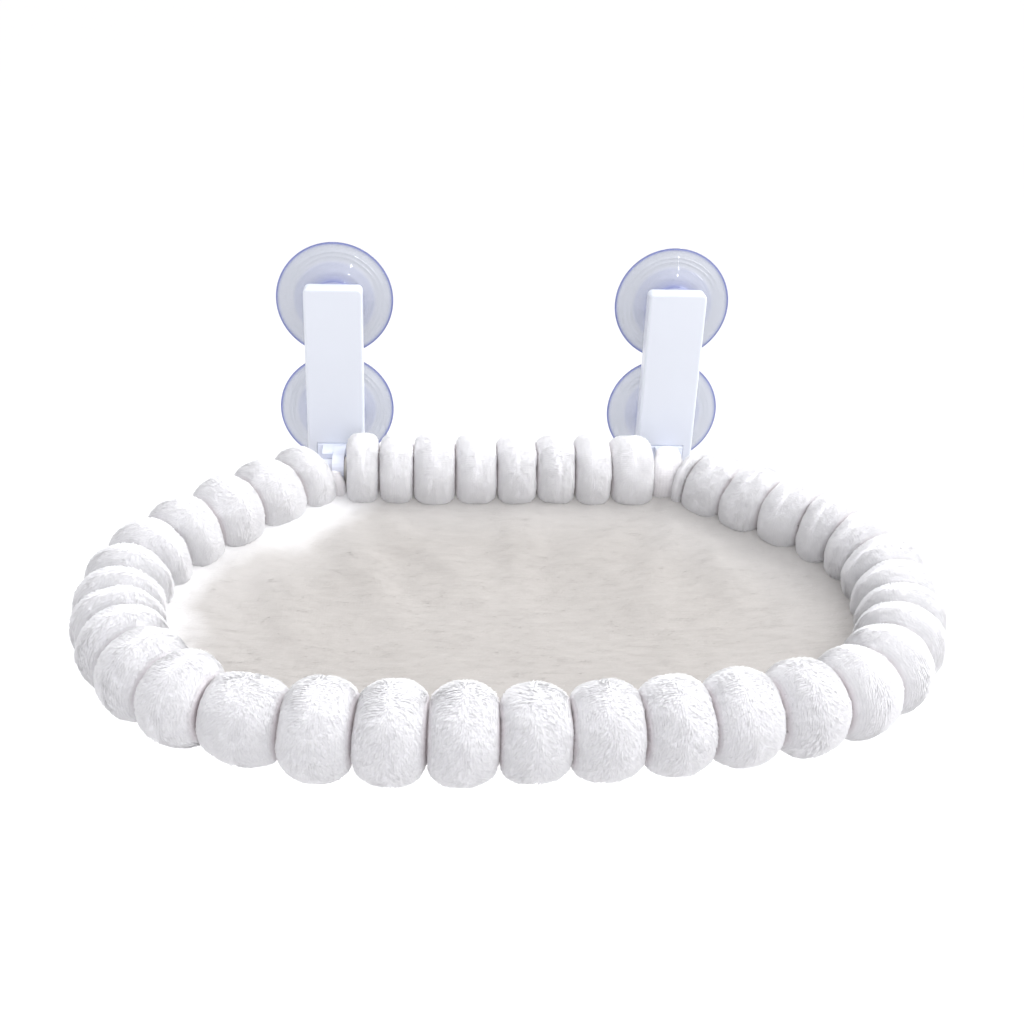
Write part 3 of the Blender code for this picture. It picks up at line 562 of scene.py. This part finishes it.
def puffed_roll(name, seams, swell, axis, sizes, material, node, corner, groove_ease, tousle):
    """A row of plush puffs: a fine skin swept along the tube, with a leaning tuft on each face.

    corner is how square the puffs are, groove_ease widens the grooves between them, and
    tousle, from 0 to 1, is how ruffled their pile is.
    """
    bm = bmesh.new()
    layers = {}
    for layer in ("tip", "groove", "travel", "across"):
        layers[layer] = bm.verts.layers.float.new(layer)
    nap = bm.verts.layers.float_vector.new("nap")
    stations = []
    for index, (start, end) in enumerate(zip(seams, seams[1:])):
        rows = max(8, round((end - start) / sizes.tuft_spacing))
        for row in range(rows):
            share = row / rows
            stations.append((start + (end - start) * share, share, swell[index]))
    stations.append((seams[-1], 1.0, swell[-1]))
    ring, before = [], None
    for travel, share, size in stations:
        rise = puff_rise(share, corner)
        groove = min(sizes.groove_radius * groove_ease, sizes.puff_radius * size)
        radius = groove + (sizes.puff_radius * size - groove) * rise
        point, heading = axis(travel)
        place = placed_circle(point, heading, radius)
        fresh, ring = sweep_on(bm, ring, place, before, sizes.tufts_around)
        for vert in fresh:
            vert[layers["travel"]] = travel
            # The groove layer is the share of painted groove shade; it also shortens the tufts near
            # the grooves
            vert[layers["groove"]] = max(0.0, 1 - rise * GROOVE_SHADE_FADE)
            vert[layers["across"]] = 2 * share - 1
        before = place
    skin = list(bm.faces)
    close_ends(bm)
    bm.normal_update()
    settle(bm)
    bm.normal_update()
    grow_tufts(bm, skin, axis, sizes, layers, nap, tousle)
    bmesh.ops.transform(bm, matrix=BED_PLACE, verts=bm.verts)
    roll = finished(name, bm, material, nap=nap)
    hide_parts(node)


def placed_circle(point, heading, radius):
    """The matrix that puts a flat circle of radius 1 round the tube, at that radius."""
    outward = outward_of(heading) * radius
    ahead = ahead_of(heading)
    place = Matrix.Translation(point)
    for row in range(3):
        place[row][0] = outward[row]
        place[row][1] = radius if row == 2 else 0
        place[row][2] = ahead[row]
    return place


def settle(bm):
    """Soft lumps of the stuffing, so that no two puffs are alike."""
    for vert in bm.verts:
        swell = noise.noise(vert.co / LUMP_SIZE) + 0.5 * noise.noise(vert.co / LUMP_SIZE * 2.3)
        vert.co += vert.normal * swell * LUMP_RISE * MM


def parting(across):
    """How strongly the pile falls away to each side of a puff's middle line."""
    return 4.7 * across * math.exp(-4 * across * across)


def grow_tufts(bm, skin, axis, sizes, layers, nap, tousle):
    """A tuft on each face: its point lies over the way the pile is brushed, drawn into locks."""
    for vert in bm.verts:
        vert[nap] = vert.normal
    jog = sizes.tuft_spacing * 0.35
    for vert in bm.verts:
        stray = noise.noise_vector(vert.co / (0.9 * MM)) * jog * (1 - vert[layers["groove"]])
        vert.co += stray - vert.normal * stray.dot(vert.normal)
    grown = bmesh.ops.poke(bm, faces=skin)
    moves = []
    for vert in grown["verts"]:
        around = neighbours(vert)
        travel = average(around, layers["travel"])
        seam = average(around, layers["groove"])
        across = average(around, layers["across"])
        face = cloth_facing(around, nap)
        point, heading = axis(travel)
        ahead = ahead_of(heading)
        out = vert.co - point
        out -= ahead * out.dot(ahead)
        round_way = ahead.cross(out.normalized())
        ruffle = (1 - abs(across)) * (0.65 + 0.9 * noise.noise(point / (60 * MM))) * tousle
        fall = Vector((0.45 * math.sin(heading), 0.45 * math.cos(heading), -1))
        wander = noise.noise_vector(vert.co / SWIRL_SIZE) * (0.3 + ruffle)
        brush = round_way * (fall.dot(round_way) + 1.2 * wander.x)
        brush += ahead * (parting(across) * 0.8 + 1.2 * wander.y)
        brush -= face * brush.dot(face)
        brush.normalize()
        # Locks are long along the brush and narrow across it
        side = brush.cross(face)
        lock = Vector((
            vert.co.dot(brush) / sizes.lock_length, vert.co.dot(side) / sizes.lock_width, 0))
        lock.z = noise.noise(vert.co / SWIRL_SIZE) * 2
        _, points = noise.voronoi(lock)
        pull = side * ((points[0].y - lock.y) * sizes.lock_width)
        lift = 0.5 + (noise.cell(points[0] * 7) - 0.5) * tousle
        tall = noise.noise(vert.co / (1.6 * MM)) * 0.4 * tousle + 0.75 + 0.3 * ruffle
        tall *= 0.85 + 0.3 * lift
        free = 1 - 0.9 * seam
        step = face * sizes.pile_height * tall + brush * sizes.pile_lean * tall
        step += pull * (0.25 + 0.5 * ruffle)
        rounding = -pull / sizes.lock_width * (0.15 * tousle + 0.4 * ruffle)
        rounding += brush * 0.2 * (lift - 0.5)
        # The last value is painted light: tufts that stand taller and lift more are drawn lighter
        moves.append((vert, step * free, seam, face + rounding * free, 0.3 + 0.5 * lift * tall))
    for vert, step, seam, lit, high in moves:
        vert.co += step
        vert[nap] = lit
        vert[layers["tip"]] = high
        vert[layers["groove"]] = seam * 0.8


def bed_outline(inset, steps):
    """The ring's middle line moved in by an inset, as points from the middle of the back."""
    trim = inset * math.tan(ELBOW_ANGLE / 2)
    half = [Vector((0, -inset, 0)), Vector(((ELBOW_X - trim) / 2, -inset, 0))]
    travels = [ELBOW_X + trim + (HALF_LENGTH - ELBOW_X - trim) * step / steps
               for step in range(steps + 1)]
    for travel in travels:
        point, heading = rim_place(travel)
        half.append(point - inset * outward_of(heading))
    return half + [Vector((-point.x, point.y, 0)) for point in reversed(half[1:-1])]


def outline_reach(outline, middle, steps=720):
    """How far the outline lies from the middle, by direction."""
    reach = [0.0] * steps
    for index in range(steps):
        angle = math.tau * index / steps
        way = Vector((math.cos(angle), math.sin(angle)))
        for first, second in zip(outline, outline[1:] + outline[:1]):
            a = (first - middle).xy
            b = (second - middle).xy
            span = b - a
            across = way.x * span.y - way.y * span.x
            if abs(across) < 1e-12:
                continue
            along = (a.x * span.y - a.y * span.x) / across
            part = (a.x * way.y - a.y * way.x) / across
            if along > 0 and -1e-6 <= part <= 1 + 1e-6:
                reach[index] = max(reach[index], along)
    return reach


# Soft ridges of the sheet: from, to, height and width, in the level bed
FOLDS = (
    ((-112, -36), (-58, -178), 3.8, 15.0),
    ((-92, -36), (-18, -105), 3.0, 12.0),
    ((-188, -108), (-150, -70), 5.0, 11.0),
    ((-158, -74), (-108, -30), 5.0, 11.0),
    ((-150, -100), (-120, -190), 2.6, 13.0),
    ((118, -40), (70, -150), 3.4, 15.0),
    ((96, -38), (24, -92), 3.0, 12.0),
    ((130, -62), (150, -150), 3.2, 14.0),
    ((8, -36), (2, -120), 2.6, 13.0),
    ((-170, -190), (-90, -236), 2.4, 16.0),
    ((172, -186), (100, -232), 2.4, 16.0),
)


def fold_height(x, y):
    """How high the sheet's folds stand at a place in the level bed."""
    height = 0.0
    place = Vector((x, y))
    for first, last, tall, wide in FOLDS:
        first = Vector(first) * MM
        run = Vector(last) * MM - first
        along = min(max((place - first).dot(run) / run.length_squared, 0), 1)
        bend = noise.noise(Vector((x, y, tall)) / (40 * MM)) * 6 * MM
        away = ((place - first - run * along).length + bend) / (wide * MM)
        height += tall * MM * math.exp(-away * away) * math.sin(math.pi * (0.15 + 0.85 * along))
    height += noise.noise(Vector((x, y, 0)) / (55 * MM)) * 2.2 * MM
    height += noise.noise(Vector((x, y, 9)) / (22 * MM)) * 0.7 * MM
    return height


def sheet_height(x, y, middle, reach, sizes):
    """The sheet's height there, and how far out that is as a share of its reach."""
    off = Vector((x, y)) - middle.xy
    angle = math.atan2(off.y, off.x) % math.tau
    share = off.length / reach[int(angle / math.tau * len(reach)) % len(reach)]
    level = -sizes.sheet_level - sizes.sheet_sag * (1 - min(share, 1.1) ** 2)
    level += max(0, share - EDGE_START) ** 2 * EDGE_RISE * MM
    return level + fold_height(x, y) * min(1, max(0, (1.02 - share) * 5)), share


# Where the painted light on the left of the sheet gives way to its cream pile, in the level bed
PAINTED_LIGHT_EDGE = (
    (-164, -235), (-180, -203), (-195, -168), (-205, -140), (-184, -98), (-157, -80),
    (-135, -70), (-105, -42), (-78, -14), (-60, 10))
PAINTED_LIGHT_FADE = 40.0


def painted_sheet_light(place, share):
    """How much painted light whitens the sheet's pile, from 0 to 1: most at the left, some near the
    edge at the back.
    """
    spot = Vector((place.x, place.y)) / MM
    spot.x += noise.noise(place / (30 * MM)) * 9 + noise.noise(place / (8 * MM)) * 3
    nearest, beyond = 1000.0, 0.0
    for first, last in zip(PAINTED_LIGHT_EDGE, PAINTED_LIGHT_EDGE[1:]):
        first = Vector(first)
        run = Vector(last) - first
        off = spot - first
        part = min(1, max(0, off.dot(run) / run.length_squared))
        away = (off - run * part).length
        if away < nearest:
            nearest = away
            beyond = away if run.x * off.y - run.y * off.x > 0 else -away
    left = min(1, max(0, 0.5 + beyond / PAINTED_LIGHT_FADE))
    back = min(1, max(0, (place.y + 210 * MM) / (110 * MM)))
    edge = min(1, max(0, (share - 0.55) / 0.45)) ** 1.5 * 0.3 * back
    return max(left * left * (3 - 2 * left) * 0.85, edge)


class HAMMOCK_OT_rolls(bpy.types.Operator):
    """Build the plush rolls of the ring and of the back"""
    bl_idname = "hammock.rolls"
    bl_label = "Plush rolls"

    def execute(self, context):
        sizes = context.scene.hammock_sizes
        material = plush_material(context.scene.hammock_colours)
        whole = 2 * HALF_LENGTH
        right = [travel * MM for travel in RIGHT_SEAMS]
        puffed_roll("plush_roll_right", right, RIGHT_SWELL, ring_axis, sizes, material,
                    "right_roll", corner=2.3, groove_ease=1.28, tousle=0.5)
        front = seams_between(SIDE_ROLL_TURN, whole - SIDE_ROLL_TURN, FRONT_SEAMS)
        puffed_roll("plush_roll_front", front, FRONT_SWELL, ring_axis, sizes, material,
                    "front_roll", corner=2.3, groove_ease=1.1, tousle=0.8)
        left = [whole - travel * MM for travel in reversed(LEFT_SEAMS)]
        puffed_roll("plush_roll_left", left, LEFT_SWELL[::-1], ring_axis, sizes, material,
                    "left_roll", corner=2.3, groove_ease=1.1, tousle=0.7)
        back = seams_between(*BACK_ROLL_ENDS, BACK_SEAMS)
        puffed_roll("plush_roll_back", back, BACK_SWELL, back_axis, sizes, material,
                    "back_roll", corner=3.4, groove_ease=1.25, tousle=0.5)
        return {"FINISHED"}


def off_hinge(angle):
    """The way out from the back tube, by the angle above the room side."""
    return Vector((0, -math.cos(angle), math.sin(angle)))


def placed_section(centre, angle, half_width, half_thick):
    """The matrix that puts a flat circle of radius 1 across a tuck, at an angle."""
    out = off_hinge(angle)
    round_way = Vector((0, math.sin(angle), math.cos(angle)))
    place = Matrix.Translation(centre + out * TUCK_REACH)
    for row in range(3):
        place[row][0] = half_width if row == 0 else 0
        place[row][1] = out[row] * half_thick
        place[row][2] = round_way[row]
    return place


class HAMMOCK_OT_tucks(bpy.types.Operator):
    """Build the soft tucks of plush that close the two corners in front of the hinge eyes"""
    bl_idname = "hammock.tucks"
    bl_label = "Corner tucks"

    def execute(self, context):
        material = plush_material(context.scene.hammock_colours)
        for side_name, (middle, width, top) in TUCKS.items():
            bm = bmesh.new()
            tip = bm.verts.layers.float.new("tip")
            groove = bm.verts.layers.float.new("groove")
            nap = bm.verts.layers.float_vector.new("nap")
            centre = Vector((middle, 0, 0)) - BED_SHIFT
            steps = round((top - TUCK_FOOT) / TUCK_STEP)
            ring, before = [], None
            for step in range(steps + 1):
                share = step / steps
                full = max(0.08, math.sin(math.pi * share)) ** 0.35
                place = placed_section(
                    centre, top + (TUCK_FOOT - top) * share, width * full, TUCK_THICK * full)
                _, ring = sweep_on(bm, ring, place, before, TUCK_SEGMENTS)
                before = place
            close_ends(bm)
            settle(bm)
            bm.normal_update()
            for vert in bm.verts:
                vert[nap] = vert.normal
            for vert in bmesh.ops.poke(bm, faces=list(bm.faces))["verts"]:
                face = cloth_facing(neighbours(vert), nap)
                stray = noise.noise_vector(vert.co / (1.6 * MM))
                brush = Vector((stray.x, stray.y, stray.z - 0.8))
                brush -= face * brush.dot(face)
                vert.co += face * TUCK_PILE * MM + brush * TUCK_LEAN * MM
                vert[nap] = face
                vert[tip] = 0.7
            # Painted shade: each tuck is drawn darker towards its bottom, in the groove colour
            for vert in bm.verts:
                vert[groove] = 0.1 + 0.15 * (1 - vert.co.z / TUCK_REACH)
            bmesh.ops.transform(bm, matrix=BED_PLACE, verts=bm.verts)
            tuck = finished(f"plush_tuck_{side_name}", bm, material, None, nap)
            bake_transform(tuck)
        return {"FINISHED"}


def grow_nap(bm, pile, sizes, nap, rim):
    """A short tuft on each face of the sheet's top, combed along the window."""
    for vert in bmesh.ops.poke(bm, faces=pile)["verts"]:
        streak = Vector((vert.co.x * 0.32, vert.co.y, vert.co.z))
        wander = noise.noise_vector(streak / (4 * MM))
        stray = noise.noise_vector(vert.co * per_metre(0.8 * MM))
        lean = Vector((
            0.75 + 0.6 * wander.x + 0.4 * stray.x, 0.35 * wander.y + 0.35 * stray.y, 0))
        rise = sizes.nap_height * (1 + 0.4 * wander.z + 0.3 * stray.z)
        around = neighbours(vert)
        face = cloth_facing(around, nap)
        lean -= face * lean.dot(face)
        vert[nap] = face + Vector((0, 0.2 * wander.y + 0.1 * stray.y, 0))
        vert[rim] = average(around, rim)
        vert.co += lean * sizes.nap_lean + face * rise


def plush_sheet(sizes, material, low, high, middle, reach):
    """The slung sheet: a fine grid cut to the outline, folded, given its thickness and its pile."""
    size = high - low
    bm = bmesh.new()
    nap = bm.verts.layers.float_vector.new("nap")
    rim = bm.verts.layers.float.new("rim")
    spread = Matrix.Translation((low + high) / 2) @ Matrix.Diagonal((size.x, size.y, 1, 1))
    bmesh.ops.create_grid(
        bm, x_segments=round(size.x / sizes.nap_spacing),
        y_segments=round(size.y / sizes.nap_spacing), size=0.5, matrix=spread)
    outside = []
    for vert in bm.verts:
        vert.co.z, share = sheet_height(vert.co.x, vert.co.y, middle, reach, sizes)
        vert[rim] = painted_sheet_light(vert.co, share)
        if share > 1:
            outside.append(vert)
    bmesh.ops.delete(bm, geom=outside, context="VERTS")
    grown = bmesh.ops.extrude_face_region(bm, geom=list(bm.faces))
    lifted = new_verts(grown)
    bmesh.ops.translate(bm, vec=(0, 0, SHEET_THICK), verts=lifted)
    bmesh.ops.translate(bm, vec=(0, 0, -SHEET_THICK), verts=bm.verts)
    bmesh.ops.recalc_face_normals(bm, faces=bm.faces)
    bm.normal_update()
    for vert in bm.verts:
        vert[nap] = vert.normal
    lifted_set = set(lifted)
    pile = [face for face in bm.faces if lifted_set.issuperset(face.verts)]
    for vert in lifted:
        jog = noise.noise_vector(vert.co * per_metre(0.7 * MM)) * sizes.nap_spacing
        vert.co += Vector((jog.x * 0.4, jog.y * 0.3, jog.z * 0.06))
    grow_nap(bm, pile, sizes, nap, rim)
    bmesh.ops.transform(bm, matrix=BED_PLACE, verts=bm.verts)
    sheet = finished("plush_bed_sheet", bm, material, nap=nap)
    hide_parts("plush_sheet")


def base_cloth(sizes, material, middle, reach):
    """The plain cloth under the sheet: rows of its outline, drawn in to the middle."""
    bm = bmesh.new()
    verts = [bm.verts.new(point) for point in bed_outline(BASE_INSET, steps=36)]
    face = bm.faces.new(verts)
    ring = list(bm.edges)
    bmesh.ops.delete(bm, geom=[face], context="FACES_ONLY")
    for row in range(1, BASE_ROWS):
        grown = bmesh.ops.extrude_edge_only(bm, edges=ring)
        fresh = new_verts(grown)
        ring = open_edges(grown, fresh)
        scale = (BASE_ROWS - row) / (BASE_ROWS - row + 1)
        for vert in fresh:
            vert.co = middle + (vert.co - middle) * scale
    hub = bmesh.ops.contextual_create(bm, geom=ring)["faces"]
    bmesh.ops.poke(bm, faces=hub)
    for vert in bm.verts:
        height, _ = sheet_height(vert.co.x, vert.co.y, middle, reach, sizes)
        vert.co.z = height - fold_height(vert.co.x, vert.co.y) * BASE_FOLDS - BASE_DROP
    grown = bmesh.ops.extrude_face_region(bm, geom=list(bm.faces))
    bmesh.ops.translate(bm, vec=(0, 0, -BASE_THICK), verts=new_verts(grown))
    bmesh.ops.recalc_face_normals(bm, faces=bm.faces)
    bmesh.ops.transform(bm, matrix=BED_PLACE, verts=bm.verts)
    base = finished("base_cloth_below", bm, material)
    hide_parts("base_cloth")


class HAMMOCK_OT_sheet(bpy.types.Operator):
    """Build the slung plush sheet and the base cloth under it"""
    bl_idname = "hammock.sheet"
    bl_label = "Bed cloths"

    def execute(self, context):
        sizes = context.scene.hammock_sizes
        colours = context.scene.hammock_colours
        middle = Vector((0, FRONT_REACH / 2, 0))
        outline = bed_outline(SHEET_INSET, steps=60)
        reach = outline_reach(outline, middle)
        low = Vector((min(p.x for p in outline), min(p.y for p in outline), 0))
        high = Vector((max(p.x for p in outline), max(p.y for p in outline), 0))
        plush_sheet(sizes, nap_material(colours), low, high, middle, reach)
        base_cloth(sizes, woven_material(colours), middle, reach)
        return {"FINISHED"}


# How blue the clear PVC is drawn, by radius in mm, partly its own tint where the wall is thick and
# partly painted edge shade: the middle, hub, dome, thin flange and rim
CUP_TINTS = (
    (0, 0.35), (14.6, 0.4), (15.4, 1.0), (16.6, 0.8), (18, 0.32), (24.5, 0.2), (26.4, 0.3),
    (27.4, 0.12), (28.4, 0.02), (38.6, 0.02), (39.4, 1.0))


def cup_tint(radius):
    """The share of the edge tint at a distance from a cup's middle."""
    for (low, first), (high, last) in zip(CUP_TINTS, CUP_TINTS[1:]):
        if radius <= high * MM:
            return first + (last - first) * (radius / MM - low) / (high - low)
    return CUP_TINTS[-1][1]


def cup_profile(sizes):
    """Half section of a suction cup, as (radius, height) from the glass."""
    points = [
        (0, 2.8), (18, 2.4), (29, 1.2), (36.8, 0), (39.4, 0), (40, 0.35), (40, 0.95),
        (39.4, 1.3), (38.2, 1.15), (37.2, 1.5), (34.3, 2.1), (33.9, 2.55), (33.3, 2.5),
        (31.6, 2.65), (31.2, 3.1), (30.5, 3.05), (28.4, 3.3), (27.2, 4.4), (26.4, 4.9),
        (24.6, 5.6), (22.2, 6.4), (21.8, 6.9), (21.0, 7.0), (17.2, 8.2), (15.9, 8.9),
        (15.5, 9.6), (15.5, 11.3), (14.8, 12.0), (11.5, 12.0), (10.6, 11.4), (2.7, 11.4),
        (2.7, 7.3), (5.8, 7.3), (5.8, 4.7), (0, 4.7)]
    return [(radius / SECTION_RADIUS * sizes.cup_radius, height / SECTION_HEIGHT * sizes.cup_height)
            for radius, height in points]


class HAMMOCK_OT_cups(bpy.types.Operator):
    """Build the four clear suction cups"""
    bl_idname = "hammock.cups"
    bl_label = "Suction cups"

    def execute(self, context):
        sizes = context.scene.hammock_sizes
        material = clear_pvc_material(context.scene.hammock_colours)
        for side_name, side in (("left", -1), ("right", 1)):
            for row_name, row in (("upper", 1), ("lower", -1)):
                bm = bmesh.new()
                thick = bm.verts.layers.float.new("thick")
                verts = [bm.verts.new((radius, 0, height)) for radius, height in cup_profile(sizes)]
                edges = [bm.edges.new(pair) for pair in zip(verts, verts[1:])]
                bmesh.ops.spin(
                    bm, geom=verts + edges, cent=(0, 0, 0), axis=(0, 0, 1), dvec=(0, 0, 0),
                    angle=math.tau, steps=CUP_STEPS, use_merge=True, use_duplicate=False)
                bmesh.ops.remove_doubles(bm, verts=bm.verts, dist=0.001 * MM)
                bmesh.ops.recalc_face_normals(bm, faces=bm.faces)
                for vert in bm.verts:
                    radius = vert.co.xy.length * SECTION_RADIUS * MM / sizes.cup_radius
                    vert[thick] = cup_tint(radius)
                place = Matrix.Translation((side * CUP_X, 0, row * CUP_Z))
                turn = Matrix.Rotation(math.pi / 2, 4, "X")
                bmesh.ops.transform(bm, matrix=place @ turn, verts=bm.verts)
                cup = finished(f"clear_{row_name}_cup_{side_name}", bm, material, "brackets")
                cup.data.set_sharp_from_angle(angle=math.radians(50))
                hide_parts(f"{row_name}_cup_{side_name}")
        return {"FINISHED"}


class HAMMOCK_OT_brackets(bpy.types.Operator):
    """Give the moulded and plated parts their finishes"""
    bl_idname = "hammock.brackets"
    bl_label = "Brackets and frame"

    def execute(self, context):
        colours = context.scene.hammock_colours
        cover = grained_material("satin moulded ABS", colours.cover, 0.3, 0.5 * MM)
        body = grained_material("grained moulded ABS", srgb("E2E7F4"), 0.4, 0.4 * MM)
        nylon = grained_material("moulded nylon", srgb("E4E2DA"), 0.5, 0.4 * MM)
        filled = grained_material("moulded glass filled nylon", srgb("DDE0EA"), 0.55, 0.3 * MM)
        tube = grained_material("white powder coat", srgb("EEEEF0"), 0.45, 0.7 * MM)
        steel = plated_material(colours)
        finishes = (("front_cover", cover), ("bracket_body", body), ("hinge_bush", nylon),
                    ("elbow", filled), ("hoop_splice", filled), ("hoop", tube), ("back_tube", tube),
                    ("stud", steel), ("washer", steel), ("nut", steel), ("screw", steel))
        for name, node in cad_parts.items():
            for word, material in finishes:
                if word in name:
                    node.data.materials.clear()
                    node.data.materials.append(material)
                    break
        return {"FINISHED"}


def lay_floor(scene, colour):
    bm = bmesh.new()
    bmesh.ops.create_grid(bm, x_segments=1, y_segments=1, size=FLOOR_HALF,
                          matrix=Matrix.Translation((0, 0, FLOOR_LEVEL)))
    mesh = bpy.data.meshes.new("floor")
    bm.to_mesh(mesh)
    bm.free()
    # Plain paper: no gloss at all, so that nothing shows in it
    material, _, _ = new_material("matt white paper", colour, roughness=1.0)
    mesh.materials.append(material)
    floor = bpy.data.objects.new("floor", mesh)
    scene.collection.objects.link(floor)


def light_room(scene):
    """A soft white room that darkens towards the left and brightens overhead."""
    world = bpy.data.worlds.new("soft room")
    world.use_nodes = True
    room = world.node_tree
    room.nodes["Background"].inputs["Color"].default_value = (*srgb("FCFCFF"), 1)
    way = add_node(room, "ShaderNodeTexCoord")
    across = add_node(room, "ShaderNodeSeparateXYZ", links={0: way.outputs["Generated"]})
    leftward = add_node(room, "ShaderNodeMapRange", links={
        "Value": across.outputs["X"], "From Min": 1.0, "From Max": -1.0,
        "To Min": 0.0, "To Max": 1.0})
    shade = add_node(room, "ShaderNodeMath", {"operation": "POWER"}, {
        0: leftward.outputs["Result"], 1: 2.0})
    glow = add_node(room, "ShaderNodeMath", {"operation": "MULTIPLY_ADD"}, {
        0: shade.outputs[0], 1: -0.68, 2: 1.34})
    overhead = add_node(room, "ShaderNodeMapRange", links={
        "Value": across.outputs["Z"], "From Min": 0.0, "From Max": 1.0,
        "To Min": 0.92, "To Max": 1.25})
    both = add_node(room, "ShaderNodeMath", {"operation": "MULTIPLY"}, {
        0: glow.outputs[0], 1: overhead.outputs["Result"]})
    room.links.new(both.outputs[0], room.nodes["Background"].inputs["Strength"])
    scene.world = world
    scene.view_settings.view_transform = "Standard"


def hang_lamps(scene):
    for name, place, power, size in LAMPS:
        light = bpy.data.lights.new(name, "AREA")
        light.energy = power
        light.size = size
        lamp = bpy.data.objects.new(name, light)
        lamp.location = place
        aim = LAMP_AIM - Vector(place)
        lamp.rotation_euler = aim.to_track_quat("-Z", "Y").to_euler()
        scene.collection.objects.link(lamp)


def stand_camera(scene):
    """The photograph's camera, turned by its yaw, then its pitch, then its roll."""
    forward = Vector((math.sin(CAMERA_YAW), math.cos(CAMERA_YAW), 0))
    right = Vector((math.cos(CAMERA_YAW), -math.sin(CAMERA_YAW), 0))
    ahead = forward * math.cos(CAMERA_PITCH) - Vector((0, 0, 1)) * math.sin(CAMERA_PITCH)
    up = Vector((0, 0, 1)) * math.cos(CAMERA_PITCH) + forward * math.sin(CAMERA_PITCH)
    rolled_right = right * math.cos(CAMERA_ROLL) + up * math.sin(CAMERA_ROLL)
    rolled_up = up * math.cos(CAMERA_ROLL) - right * math.sin(CAMERA_ROLL)
    turn = Matrix((rolled_right, rolled_up, -ahead)).transposed().to_4x4()
    camera = bpy.data.cameras.new("photo_camera")
    camera.sensor_width = SENSOR
    camera.lens = CAMERA_FOCUS_PX / IMAGE_PX * SENSOR
    seat = bpy.data.objects.new("photo_camera", camera)
    seat.matrix_world = Matrix.Translation(CAMERA_PLACE) @ turn
    scene.collection.objects.link(seat)
    scene.camera = seat


class HAMMOCK_OT_stage(bpy.types.Operator):
    """Set the pale floor, the soft light and the camera"""
    bl_idname = "hammock.stage"
    bl_label = "Stage"

    def execute(self, context):
        scene = context.scene
        lay_floor(scene, scene.hammock_colours.backdrop)
        light_room(scene)
        hang_lamps(scene)
        stand_camera(scene)
        return {"FINISHED"}


class HAMMOCK_PT_panel(bpy.types.Panel):
    """Lists the sizes, the colours and the operators"""
    bl_idname = "HAMMOCK_PT_panel"
    bl_label = "Window hammock"
    bl_space_type = "VIEW_3D"
    bl_region_type = "UI"
    bl_category = "Hammock"

    def draw(self, context):
        layout = self.layout
        for group in (context.scene.hammock_sizes, context.scene.hammock_colours):
            for name in group.__annotations__:
                layout.prop(group, name)
        for operator in OPERATORS:
            layout.operator(operator.bl_idname)


OPERATORS = (
    HAMMOCK_OT_rolls, HAMMOCK_OT_tucks, HAMMOCK_OT_sheet, HAMMOCK_OT_cups,
    HAMMOCK_OT_brackets, HAMMOCK_OT_stage)
CLASSES = (HammockSizes, HammockColours, *OPERATORS, HAMMOCK_PT_panel)


def register():
    for item in CLASSES:
        bpy.utils.register_class(item)
    bpy.types.Scene.hammock_sizes = PointerProperty(type=HammockSizes)
    bpy.types.Scene.hammock_colours = PointerProperty(type=HammockColours)


def unregister():
    del bpy.types.Scene.hammock_colours
    del bpy.types.Scene.hammock_sizes
    for item in reversed(CLASSES):
        bpy.utils.unregister_class(item)


def main():
    register()
    bpy.ops.hammock.rolls()
    bpy.ops.hammock.tucks()
    bpy.ops.hammock.sheet()
    bpy.ops.hammock.cups()
    bpy.ops.hammock.brackets()
    bpy.ops.hammock.stage()


if __name__ == "__main__":
    main()
